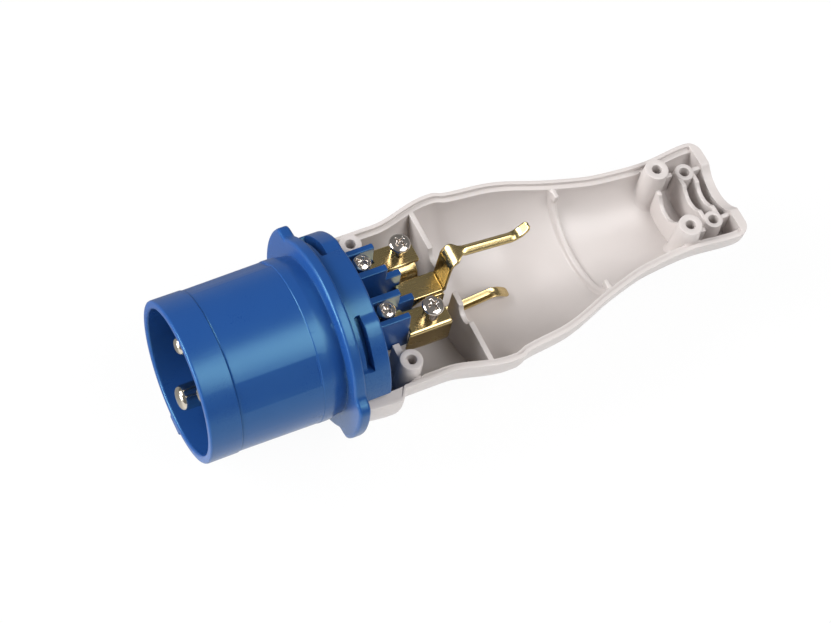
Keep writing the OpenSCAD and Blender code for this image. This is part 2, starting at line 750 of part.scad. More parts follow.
// Curved wall of the shell behind the collar: outside, hollow with the ledge of the inner lip, cable end
module shell_body() {
    ledge = shell_wall - lip_w;
    both = concat(stations(0), [shell_len - shell_wall]);
    ends = concat(both, [for (a = end_angles) shell_len - end_r + end_r * sin(a)]);
    n = arc_steps;
    outer = [
        for (s = ends)
            let (x = collar_x + s, w = outside(s, 1), d = outside(s, 2))
                concat([[x, w, lip_h]], bowl(x, w, d), [[x, -w, lip_h]])
    ];
    inner = [
        for (s = both)
            let (x = collar_x + s, w = hollow(s, 1), d = hollow(s, 2))
                concat([[x, w + ledge, lip_h], [x, w + ledge, 0]], bowl(x, w, d),
                       [[x, -w - ledge, 0], [x, -w - ledge, lip_h]])
    ];
    middles = [[collar_x + shell_len - shell_wall, 0, lip_h / 2], [rear_x, 0, lip_h / 2]];
    last = len(both) - 1;
    stop = len(ends) - 1;
    // Numbers of the outer and inner points, by station and place around the section
    out = [for (i = [0:stop]) [for (j = [0:n + 2]) i * (n + 3) + j]];
    start = len(ends) * (n + 3);
    in = [for (i = [0:last]) [for (j = [0:n + 4]) start + i * (n + 5) + j]];
    wall_mid = start + len(both) * (n + 5);
    skin = [for (i = [0:stop - 1], j = [0:n + 1]) each
        halves(out[i][j], out[i][j + 1], out[i + 1][j + 1], out[i + 1][j])];
    lining = [for (i = [0:last - 1], j = [0:n + 3]) each
        halves(in[i][j], in[i + 1][j], in[i + 1][j + 1], in[i][j + 1])];
    lips = [for (i = [0:last - 1]) each concat(
        halves(in[i][0], out[i][0], out[i + 1][0], in[i + 1][0]),
        halves(out[i][n + 2], in[i][n + 4], in[i + 1][n + 4], out[i + 1][n + 2]))];
    front = concat(
        halves(out[0][1], out[0][0], in[0][0], in[0][1]),
        [[out[0][2], out[0][1], in[0][1]], [out[0][2], in[0][1], in[0][2]]],
        [[out[0][2], in[0][2], in[0][3]]],
        [for (i = [1:n - 2]) each halves(out[0][i + 2], out[0][i + 1], in[0][i + 2], in[0][i + 3])],
        [[out[0][n], in[0][n + 1], in[0][n + 2]], [out[0][n], in[0][n + 2], in[0][n + 3]]],
        [[out[0][n + 1], out[0][n], in[0][n + 3]]],
        halves(out[0][n + 2], out[0][n + 1], in[0][n + 3], in[0][n + 4]));
    rear_wall = [for (j = [0:n + 4]) [wall_mid, in[last][(j + 1) % (n + 5)], in[last][j]]];
    rear_top = concat(
        [[out[last][0], out[last + 1][0], in[last][0]]],
        [[in[last][0], out[last + 1][0], out[last + 1][n + 2]]],
        [[in[last][0], out[last + 1][n + 2], in[last][n + 4]]],
        [[in[last][n + 4], out[last + 1][n + 2], out[last][n + 2]]],
        [for (i = [last + 1:stop - 1]) each
            halves(out[i][n + 2], out[i][0], out[i + 1][0], out[i + 1][n + 2])]);
    rear_end = [for (j = [0:n + 2]) [wall_mid + 1, out[stop][j], out[stop][(j + 1) % (n + 3)]]];
    polyhedron(
        [for (ring = concat(outer, inner, [middles])) each ring],
        concat(skin, lining, lips, front, rear_wall, rear_top, rear_end));
}

// Flat half section of the hollow at distance s, grown by the given margin and closed at height top
module hollow_section(s, margin, top) {
    w = hollow(s, 1) + margin;
    polygon(concat([[w, top]], [for (p = bowl(0, w, hollow(s, 2) + margin)) [p[1], p[2]]], [[-w, top]]));
}

// Pair of upright bosses at distance s, from the middle of the wall to height h above the parting plane
module bosses(s, gap, d, h)
    intersection() {
        for (side = [-1, 1])
            translate([collar_x + s, side * gap / 2, -belly_depth]) cylinder(d = d, h = belly_depth + h);
        along_x(collar_x + s - d, 2 * d) hollow_section(s, shell_wall / 2, h + past);
    }

// Screw holes of a pair of bosses
module boss_holes(s, gap, h)
    for (side = [-1, 1])
        translate([collar_x + s, side * gap / 2, h - boss_hole_depth])
            cylinder(d = boss_hole_d, h = boss_hole_depth + past);

// Bulkhead across the hollow, with notches for the plug's pins and a slot for the lower arm
module bulkhead()
    along_x(bulkhead_x, bulkhead_t)
        difference() {
            hollow_section(bulkhead_at, shell_wall / 2, 0);
            for (side = [-1, 1]) translate([side * socket_y, 0]) circle(r = pin_notch_r);
            translate([-slot_w / 2, fuse - hollow(bulkhead_at, 2)]) square([slot_w, belly_depth]);
        }

// Low arch rib around the hollow, with a tab at each end
module arch_rib() {
    s = shell_len - arch_at;
    w = hollow(s, 1);
    along_x(collar_x + s - arch_w / 2, arch_w)
        difference() {
            hollow_section(s, shell_wall / 2, 0);
            hollow_section(s, -arch_h, past);
        }
    for (side = [0, 1])
        mirror([0, side, 0])
            block([collar_x + s - rib_t / 2, w - tab_len, -tab_len], [collar_x + s + rib_t / 2, w, 0]);
}

// Rib across the tail at distance s, with a round cradle for the cable
module cradle_rib(s, width, top, dip)
    along_x(collar_x + s - rib_t / 2, rib_t)
        intersection() {
            hollow_section(s, shell_wall / 2, past);
            difference() {
                translate([-width / 2, -belly_depth]) square([width, belly_depth + top]);
                translate([0, top - dip + cradle_r]) circle(r = cradle_r);
            }
        }

// Pair of lengthwise ribs from distance s, standing on the wall at half the given gap
module wall_ribs(s, length, gap, top)
    along_x(collar_x + s, length)
        intersection() {
            hollow_section(s + length / 2, shell_wall / 2, past);
            for (side = [-1, 1])
                translate([side * gap / 2 - rib_t / 2, -belly_depth]) square([rib_t, belly_depth + top]);
        }

// Cross ribs from the front bosses to the walls of the chambers
module front_ribs() {
    inner = slot_out + outer_wall + seat_clear;
    along_x(collar_x + front_boss_at - front_rib_back, rib_t)
        intersection() {
            hollow_section(front_boss_at, shell_wall / 2, front_rib_h);
            for (side = [0, 1])
                mirror([side, 0])
                    translate([inner, -belly_depth])
                        square([front_boss_gap / 2 - inner, belly_depth + front_rib_h]);
        }
}

// Front collar with the round seat for the neck, the flat under it and the lips of the parting plane
module collar() {
    inside = collar_d / 2 - lip_w;
    difference() {
        intersection() {
            bar_x(collar_x, collar_len, collar_d);
            block([collar_x - past, -collar_d, -foot_depth], [rear_x, collar_d, lip_h]);
        }
        along_x(collar_x - past, collar_len + 2 * past) hollow_section(0, fuse / 4, lip_h + past);
        bar_x(collar_x - past, seat_x - collar_x + past, neck_d + 2 * seat_clear);
        block([collar_x - past, -inside, 0], [collar_x + collar_len + past, inside, lip_h + past]);
    }
}

// Light-grey moulding: half of the handle with its bulkhead, ribs and bosses
module half_shell() {
    rear_boss_s = shell_len - rear_boss_at;
    clamp_boss_s = shell_len - clamp_boss_at;
    rib_shift = (clamp_boss_d - rib_t) / 2;
    color("gainsboro")
        difference() {
            union() {
                shell_body();
                collar();
                bulkhead();
                arch_rib();
                bosses(front_boss_at, front_boss_gap, front_boss_d, front_boss_h);
                bosses(rear_boss_s, rear_boss_gap, rear_boss_d, rear_boss_h);
                bosses(clamp_boss_s, clamp_boss_gap, clamp_boss_d, clamp_boss_h);
                cradle_rib(rear_boss_s, rear_boss_gap, -web_drop, web_dip - web_drop);
                for (side = [-1, 1])
                    cradle_rib(clamp_boss_s + side * rib_shift, clamp_boss_gap, 0, cradle_depth);
                front_ribs();
                wall_ribs(rear_boss_s, side_rib_len, rear_boss_gap, -web_drop);
                wall_ribs(clamp_boss_s, clamp_boss_at - shell_wall / 2, clamp_boss_gap, 0);
            }
            boss_holes(front_boss_at, front_boss_gap, front_boss_h);
            boss_holes(rear_boss_s, rear_boss_gap, rear_boss_h);
            boss_holes(clamp_boss_s, clamp_boss_gap, clamp_boss_h);
            translate([0, 0, notch_r - notch_depth])
                bar_x(rear_x - 2 * shell_wall, 3 * shell_wall, 2 * notch_r);
        }
}

seat() plug_front();
seat() half_shell();
seat() earth_pin();
seat() line_pin();
seat() neutral_pin();
seat() line_pin_screw();
seat() neutral_pin_screw();
seat() earth_pin_screw();
seat() line_contact();
seat() neutral_contact();
seat() line_clamp_screw();
seat() neutral_clamp_screw();
seat() earth_strip();
seat() upper_spring_arm();
seat() lower_spring_arm();
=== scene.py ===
"""Looks of the open plug adapter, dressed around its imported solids.

Sizes are in millimetres of the plug: X runs along its axis from the rim of the shroud, and Z = 0 is the
parting plane of the handle. to_row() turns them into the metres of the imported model. Angles around the
axis are in degrees from +Y towards +Z, so 90 is the top.
"""

import logging
import math
from collections.abc import Callable, Sequence
from dataclasses import dataclass, field
from enum import Enum
from functools import cached_property

import bmesh
import bpy
from mathutils import Matrix, Vector


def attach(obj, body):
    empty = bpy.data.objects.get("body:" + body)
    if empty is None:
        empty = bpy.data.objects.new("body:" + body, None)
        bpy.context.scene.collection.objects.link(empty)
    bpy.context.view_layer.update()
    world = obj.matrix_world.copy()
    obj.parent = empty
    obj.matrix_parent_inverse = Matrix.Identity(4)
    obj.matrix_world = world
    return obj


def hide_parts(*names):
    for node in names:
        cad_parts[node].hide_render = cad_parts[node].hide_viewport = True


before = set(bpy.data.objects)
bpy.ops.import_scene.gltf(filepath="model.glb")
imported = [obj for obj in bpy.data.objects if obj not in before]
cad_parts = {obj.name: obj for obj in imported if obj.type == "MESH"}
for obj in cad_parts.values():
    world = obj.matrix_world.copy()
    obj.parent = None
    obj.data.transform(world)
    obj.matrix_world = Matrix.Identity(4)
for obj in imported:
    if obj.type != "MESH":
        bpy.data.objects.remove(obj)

LOG = logging.getLogger("plug_adapter")
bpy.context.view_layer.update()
BODY = "root"

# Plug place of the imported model's origin
MID_X = 83.25
REST_Z = 27.0
MM = 0.001

Point2 = tuple[float, float]
Point3 = tuple[float, float, float]
Profile = Sequence[Point2]
Colour = tuple[float, float, float, float]
Placer = Callable[[float, float, float], Vector]
Material = bpy.types.Material
Value = "Wire | float"

WHITE: Colour = (1.0, 1.0, 1.0, 1.0)
BLACK: Colour = (0.0, 0.0, 0.0, 1.0)


class Side(Enum):
    """The two mirrored sides of the plug, with the sign of Y there."""

    LINE = 1
    NEUTRAL = -1

    def span(self, inner: float, outer: float) -> Point2:
        """Both ends of a run across this side, the lower one first."""
        low, high = sorted((self.value * inner, self.value * outer))
        return low, high


class Band(Enum):
    """Kinds of rings that make up the turned skin of the plug front."""

    PLAIN = "plain"
    PANEL = "panel"
    FLANGE = "flange"
    BACK = "back"
    LUG = "lug"


def to_row(point: Vector) -> Vector:
    """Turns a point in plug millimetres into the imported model's metres."""
    return Vector((point.x - MID_X, point.y, point.z + REST_Z)) * MM


def put(name: str, data: bpy.types.ID) -> bpy.types.Object:
    """Puts a new object into the scene.

    Args:
        name: Name of the object.
        data: Mesh, lamp or camera that it shows.

    Returns:
        The object.
    """
    made = bpy.data.objects.new(name, data)
    bpy.context.scene.collection.objects.link(made)
    return made


def srgb(*shares: float) -> Colour:
    """Turns a screen colour into linear light.

    Args:
        shares: Red, green and blue, from 0 to 255.

    Returns:
        The linear colour with full alpha.
    """
    values = [share / 255 for share in shares]
    red, green, blue = (v / 12.92 if v <= 0.04045 else ((v + 0.055) / 1.055) ** 2.4 for v in values)
    return red, green, blue, 1.0


def smooth(share: float) -> float:
    """Smooth step from 0 to 1."""
    held = min(max(share, 0.0), 1.0)
    return held * held * (3 - 2 * held)


def window(angle: float, start: float, stop: float, soft: float) -> float:
    """Soft window around the axis.

    Args:
        angle: Angle to look at.
        start: Angle of the window's lower edge.
        stop: Angle of the window's upper edge.
        soft: Half the width of each soft edge.

    Returns:
        1 inside the window, 0 outside and a smooth step between.
    """
    middle = (start + stop) / 2
    off = abs((angle - middle + 180) % 360 - 180)
    return smooth(((stop - start) / 2 + soft - off) / (2 * soft))


def evenly(start: float, stop: float, count: int) -> list[float]:
    """Values in equal steps from start to stop, with both ends."""
    return [start + (stop - start) * i / count for i in range(count + 1)]


def full_turn(count: int) -> list[float]:
    """Angles of a full turn in equal steps, in radians."""
    return evenly(0.0, 2 * math.pi, count)[:-1]


def arc(width: float, depth: float, turns: Sequence[float]) -> list[Point2]:
    """Points of an ellipse at angles in radians."""
    return [(width * math.cos(turn), depth * math.sin(turn)) for turn in turns]


def moved(first: float, second: float, profile: Profile) -> list[Point2]:
    """A profile whose origin is moved to a point."""
    return [(first + a, second + b) for a, b in profile]


def angle_steps(marks: Sequence[float], soft: float, pitch: float = 2.0) -> list[float]:
    """Angles around the axis that lie close together at the marks.

    Args:
        marks: Angles of edges that run along the axis.
        soft: Half the width of those edges.
        pitch: Widest step.

    Returns:
        Sorted angles from 0 to 360.
    """
    shares = (-1, -0.6, -0.2, 0.2, 0.6, 1)
    fine = [(mark + share * soft) % 360 for mark in marks for share in shares]
    steps: list[float] = []
    for angle in sorted(fine + [pitch * i for i in range(int(360 / pitch))]):
        if not steps or angle - steps[-1] > soft / 8:
            steps.append(angle)
    return steps


def rounded(corners: Sequence[Point3], steps: int) -> list[Point2]:
    """Open line with rounded corners.

    Args:
        corners: Both coordinates and the corner radius of each point.
        steps: Arc steps at each corner.

    Returns:
        The points of the rounded line.
    """
    straight, leg_share = math.radians(179), 0.48
    points: list[Point2] = [corners[0][:2]]
    for before, here, after in zip(corners, corners[1:], corners[2:]):
        corner = Vector(here[:2])
        to_before, to_after = Vector(before[:2]) - corner, Vector(after[:2]) - corner
        bend = to_before.angle(to_after)
        if here[2] <= 0 or bend > straight:
            points.append(here[:2])
            continue
        longest = leg_share * min(to_before.length, to_after.length)
        reach = min(here[2] / math.tan(bend / 2), longest)
        first, last = to_before.normalized(), to_after.normalized()
        centre = corner + (first + last).normalized() * (reach / math.cos(bend / 2))
        arm_a, arm_b = corner + first * reach - centre, corner + last * reach - centre
        turn = arm_a.angle(arm_b)
        for share in evenly(0.0, 1.0, steps):
            arm = (arm_a * math.sin((1 - share) * turn) + arm_b * math.sin(share * turn)) / math.sin(turn)
            points.append(tuple(centre + arm))
    points.append(corners[-1][:2])
    return points


def across_y(u: float, v: float, w: float) -> Vector:
    """Places a shape drawn in X and Z, extruded along Y."""
    return Vector((u, w, v))


def across_x(u: float, v: float, w: float) -> Vector:
    """Places a shape drawn in Y and Z, extruded along X."""
    return Vector((w, u, v))


class Mesher:
    """Gathers the surfaces of one piece in plug millimetres and makes its object."""

    SHARP = math.radians(38)
    BEVEL_FROM = math.radians(28)
    # Edge radius of a sheet, places across its half width and roundness of its ridge
    SHEET_EDGE = 0.3
    SHEET_PLACES = (0.8, 0.55, 0.3, 0.15, 0.07, 0.0, -0.07, -0.15, -0.3, -0.55, -0.8)
    SHEET_RIDGE = 0.18

    def __init__(self) -> None:
        """Starts with no surface."""
        self.bm = bmesh.new()

    def loft(self, rings: Sequence[Sequence[Vector]]) -> None:
        """Skins a row of closed rings and closes both ends.

        Args:
            rings: Rings of equally many points.
        """
        rows = [[self.bm.verts.new(point) for point in ring] for ring in rings]
        for near, far in zip(rows, rows[1:]):
            for j in range(len(near)):
                k = (j + 1) % len(near)
                self.bm.faces.new((near[j], near[k], far[k], far[j]))
        self.bm.faces.new(rows[0][::-1])
        self.bm.faces.new(rows[-1])

    def turned(self, profile: Profile, place: Placer, segments: int) -> None:
        """Turns a profile around an axis.

        Args:
            profile: Distance along the axis and radius of each point.
            place: Places the axis distance and the two cross directions.
            segments: Steps around the axis.
        """
        turns = full_turn(segments)
        self.loft([[place(along, u, v) for u, v in arc(radius, radius, turns)]
                   for along, radius in profile])

    def soften(self, radius: float, sharper_than: float = BEVEL_FROM) -> None:
        """Rounds the edges.

        Args:
            radius: Radius of the rounded edges.
            sharper_than: Angle between two faces from which their edge is rounded.
        """
        bmesh.ops.recalc_face_normals(self.bm, faces=self.bm.faces)
        edges = [edge for edge in self.bm.edges if edge.calc_face_angle(0.0) > sharper_than]
        bmesh.ops.bevel(self.bm, geom=edges, offset=radius, segments=3, profile=0.5,
                        affect="EDGES", clamp_overlap=True)

    def prism(self, outline: Profile, low: float, high: float, place: Placer, round_off: float) -> None:
        """Extrudes an outline and rounds its edges.

        Args:
            outline: Corner points in order.
            low: Start of the extrusion.
            high: End of the extrusion.
            place: Places both outline coordinates and the extrusion.
            round_off: Radius of the rounded edges.
        """
        part = Mesher()
        part.loft([[place(u, v, w) for u, v in outline] for w in (low, high)])
        part.soften(round_off)
        self.absorb(part)

    def block(self, low: Point3, high: Point3, round_off: float = 0.2) -> None:
        """Adds a block with rounded edges between two corners."""
        outline = [(low[0], low[2]), (high[0], low[2]), (high[0], high[2]), (low[0], high[2])]
        self.prism(outline, low[1], high[1], across_y, round_off)

    def sheet(self, path: Profile, spans: Profile, thickness: float, place: Placer,
              crowns: Sequence[float] | None = None) -> None:
        """Bends a sheet with rounded edges along a path.

        Args:
            path: Points of the sheet's middle line.
            spans: Both ends of the sheet across the path, at each point.
            thickness: Sheet thickness.
            place: Places both path coordinates and the span.
            crowns: Height of a ridge along the middle at each point, or None for a flat sheet.
        """
        half, edge, ridge = thickness / 2, self.SHEET_EDGE, self.SHEET_RIDGE
        curve = [(edge - a, edge - b) for a, b in arc(edge, edge, evenly(0.0, math.pi / 2, 3))]
        points = [Vector(spot) for spot in path]
        rings, last = [], len(points) - 1
        for i, point in enumerate(points):
            tangent = (points[min(i + 1, last)] - points[max(i - 1, 0)]).normalized()
            normal = Vector((-tangent.y, tangent.x))
            low, high = spans[i]
            middle, reach = (low + high) / 2, (high - low) / 2
            upper = [(high - a, half - b) for a, b in curve]
            upper += [(middle + (reach - edge) * share, half) for share in self.SHEET_PLACES]
            upper += [(low + a, half - b) for a, b in curve[::-1]]
            crown = crowns[i] if crowns else 0.0
            ring = []
            for across, off in upper + [(across, -off) for across, off in upper[::-1]]:
                lift = crown * (0.5 - math.hypot((across - middle) / reach, ridge) + ridge)
                ring.append(place(*(point + normal * (off + lift)), across))
            centre = sum(ring, Vector()) / len(ring)
            shrunk = [spot + (centre - spot).normalized() * edge for spot in ring]
            inward = place(*(point + tangent * edge), 0.0) - place(*point, 0.0)
            if i == 0:
                rings += [shrunk, [spot + inward for spot in ring]]
            elif i == last:
                rings += [[spot - inward for spot in ring], shrunk]
            else:
                rings.append(ring)
        self.loft(rings)

    def absorb(self, part: "Mesher") -> None:
        """Takes over the surfaces of another mesher.

        Args:
            part: Mesher that is used up.
        """
        mesh = bpy.data.meshes.new("part")
        part.bm.to_mesh(mesh)
        part.bm.free()
        self.bm.from_mesh(mesh)
        bpy.data.meshes.remove(mesh)

    def mirror(self) -> None:
        """Moves the surfaces to the other side of the plug."""
        bmesh.ops.scale(self.bm, vec=(1, -1, 1), verts=self.bm.verts)

    def settle(self, name: str) -> bpy.types.Object:
        """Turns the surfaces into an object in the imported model's metres.

        Args:
            name: Name of the object and its mesh.

        Returns:
            The object.
        """
        bmesh.ops.recalc_face_normals(self.bm, faces=self.bm.faces)
        for vert in self.bm.verts:
            vert.co = to_row(vert.co)
        mesh = bpy.data.meshes.new(name)
        self.bm.to_mesh(mesh)
        self.bm.free()
        return put(name, mesh)

    def make(self, node: str, slot: str, material: Material) -> bpy.types.Object:
        """Makes the object that stands for a node.

        Args:
            node: Name of the solid that the piece stands for.
            slot: Material slot of the record; not used.
            material: Finish of the piece.

        Returns:
            The new object, riding on the part's body.
        """
        piece = self.settle(f"{node}_looks")
        mesh = piece.data
        mesh.polygons.foreach_set("use_smooth", [True] * len(mesh.polygons))
        mesh.set_sharp_from_angle(angle=self.SHARP)
        mesh.materials.append(material)
        normals = piece.modifiers.new("face_weights", "WEIGHTED_NORMAL")
        normals.keep_sharp = True
        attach(piece, BODY)
        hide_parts(node)
        LOG.info("%s: %d faces", piece.name, len(mesh.polygons))
        return piece


class Wire:
    """A shader socket that takes part in Python sums."""

    def __init__(self, graph: "Graph", socket: bpy.types.NodeSocket | None) -> None:
        """Keeps the socket and the graph that it belongs to."""
        self.graph = graph
        self.socket = socket

    def __add__(self, other: Value) -> "Wire":
        """Sum of both values."""
        return self.graph.sum_up("ADD", self, other)

    __radd__ = __add__

    def __sub__(self, other: Value) -> "Wire":
        """This value less the other."""
        return self.graph.sum_up("SUBTRACT", self, other)

    def __rsub__(self, other: Value) -> "Wire":
        """The other value less this one."""
        return self.graph.sum_up("SUBTRACT", other, self)

    def __mul__(self, other: Value) -> "Wire":
        """Product of both values."""
        return self.graph.sum_up("MULTIPLY", self, other)

    __rmul__ = __mul__


class Graph:
    """The nodes of one material or world."""

    def __init__(self, tree: bpy.types.NodeTree) -> None:
        """Empties the tree."""
        self.tree = tree
        tree.nodes.clear()

    def node(self, kind: str, settings: dict | None = None, sockets: dict | None = None,
             out: int | str = 0) -> Wire:
        """Adds a node.

        Args:
            kind: Node type.
            settings: Settings of the node, set first; "stops" fills a ramp.
            sockets: Values or wires of its inputs, by name or number.
            out: Output that the wire comes from.

        Returns:
            A wire from that output, or an empty one where the node has none.
        """
        node = self.tree.nodes.new(kind)
        for key, value in (settings or {}).items():
            if key == "stops":
                ramp = node.color_ramp.elements
                while len(ramp) < len(value):
                    ramp.new(1.0)
                for stop, (position, colour) in zip(ramp, value):
                    stop.position, stop.color = position, colour
            else:
                setattr(node, key, value)
        for key, value in (sockets or {}).items():
            if isinstance(value, Wire):
                self.tree.links.new(value.socket, node.inputs[key])
            else:
                node.inputs[key].default_value = value
        return Wire(self, node.outputs[out] if len(node.outputs) else None)

    def sum_up(self, operation: str, first: Value, second: Value) -> Wire:
        """Adds a Math node for one operation on two values."""
        return self.node("ShaderNodeMath", {"operation": operation}, {0: first, 1: second})

    def blend(self, share: Value, first: Colour, second: Colour) -> Wire:
        """Mixes two colours by a share."""
        return self.node("ShaderNodeMix", {"data_type": "RGBA"}, {0: share, 6: first, 7: second}, 2)

    def noise(self, place: Wire, scale: float, detail: float) -> Wire:
        """Noise from 0 to 1 with the given features a metre."""
        return self.node("ShaderNodeTexNoise", None, {"Vector": place, "Scale": scale, "Detail": detail})

    def stretched(self, place: Wire, scale: Point3) -> Wire:
        """Scales a place differently along each axis."""
        return self.node("ShaderNodeMapping", {"vector_type": "POINT"}, {"Vector": place, "Scale": scale})

    def bump(self, height: Wire, depth: float, strength: float) -> Wire:
        """Normal from a height map with the given depth in metres."""
        sockets = {"Height": height, "Distance": depth, "Strength": strength}
        return self.node("ShaderNodeBump", None, sockets)

    def spot(self) -> Wire:
        """Place on the object, in metres."""
        return self.node("ShaderNodeTexCoord", None, None, "Object")

    def mix(self, share: Value, first: Wire, second: Wire) -> Wire:
        """Mixes two shaders by a share."""
        return self.node("ShaderNodeMixShader", None, {0: share, 1: first, 2: second})

    def surface(self, shader: Wire) -> None:
        """Ends a material with its shader."""
        self.node("ShaderNodeOutputMaterial", None, {"Surface": shader})


def new_material(name: str) -> tuple[Material, Graph]:
    """Starts a material.

    Args:
        name: Name of the material.

    Returns:
        The material and its empty graph.
    """
    made = bpy.data.materials.new(name)
    made.use_nodes = True
    return made, Graph(made.node_tree)


@dataclass(frozen=True)
class PlasticFinish:
    """Moulded plastic with a fine grain and a faint cloudiness."""

    name: str
    colour: Colour
    shade: Colour
    roughness: float
    tint: Colour = WHITE
    gloss: float = 0.5
    grain: float = 5200.0
    grain_depth: float = 0.00003
    grain_strength: float = 0.35
    grain_rough: float = 0.1
    cloud: float = 70.0
    cloud_share: float = 0.6
    cloud_rough: float = 0.12
    flow: float = 280.0
    flow_share: float = 0.3
    flow_height: float = 0.5
    flow_stretch: Point3 = (0.25, 1.0, 1.0)

    def material(self) -> Material:
        """Builds the material.

        Returns:
            The material of this finish.
        """
        made, graph = new_material(self.name)
        spot = graph.spot()
        cloud = graph.noise(spot, self.cloud, 3)
        grain = graph.noise(spot, self.grain, 2)
        flow = graph.noise(graph.stretched(spot, self.flow_stretch), self.flow, 2)
        height = grain + self.flow_height * flow
        shade = cloud * self.cloud_share + flow * self.flow_share
        uneven = self.cloud_rough * (cloud - 0.5) + self.grain_rough * (grain - 0.5)
        graph.surface(graph.node("ShaderNodeBsdfPrincipled", None, {
            "Base Color": graph.blend(shade, self.colour, self.shade),
            "Roughness": self.roughness + uneven,
            "Specular IOR Level": self.gloss,
            "Specular Tint": self.tint,
            "Normal": graph.bump(height, self.grain_depth, self.grain_strength),
        }))
        return made


@dataclass(frozen=True)
class MetalFinish:
    """Bare or plated metal with rolling streaks and faint stains."""

    name: str
    colour: Colour
    stain: Colour
    roughness: float
    streak: Point3
    streak_depth: float = 0.00001
    streak_strength: float = 0.3
    streak_share: float = 0.15
    streak_rough: float = 0.16
    cloud: float = 320.0
    cloud_share: float = 0.35
    cloud_rough: float = 0.12

    def material(self) -> Material:
        """Builds the material.

        Returns:
            The material of this finish.
        """
        made, graph = new_material(self.name)
        spot = graph.spot()
        streak = graph.noise(graph.stretched(spot, self.streak), 1.0, 3)
        cloud = graph.noise(spot, self.cloud, 3)
        stain = cloud * self.cloud_share + streak * self.streak_share
        uneven = self.cloud_rough * (cloud - 0.5) + self.streak_rough * (streak - 0.5)
        graph.surface(graph.node("ShaderNodeBsdfPrincipled", None, {
            "Base Color": graph.blend(stain, self.colour, self.stain),
            "Metallic": 1.0,
            "Roughness": self.roughness + uneven,
            "Normal": graph.bump(streak, self.streak_depth, self.streak_strength),
        }))
        return made


BLUE_PLASTIC = PlasticFinish("blue_plastic_looks", srgb(28, 67, 130), srgb(32, 73, 136), 0.3,
                             tint=(0.42, 0.93, 1.0, 1.0), gloss=0.66)
GREY_PLASTIC = PlasticFinish("grey_plastic_looks", srgb(210, 203, 200), srgb(203, 196, 193), 0.38)
NICKEL = MetalFinish("nickel_looks", srgb(226, 219, 205), srgb(196, 184, 162), 0.17,
                     (300.0, 2600.0, 2600.0))
SCREW_STEEL = MetalFinish("screw_steel_looks", srgb(234, 226, 218), srgb(196, 184, 174), 0.13,
                          (1500.0, 1500.0, 300.0))
BRASS = MetalFinish("brass_looks", srgb(212, 190, 138), srgb(182, 158, 104), 0.25,
                    (160.0, 3600.0, 3600.0))


@dataclass(frozen=True)
class Ring:
    """One ring of the plug front's skin: its place, and the depth of the lug's slots there."""

    x: float
    radius: float
    band: Band = Band.PLAIN
    slot: float = 0.0


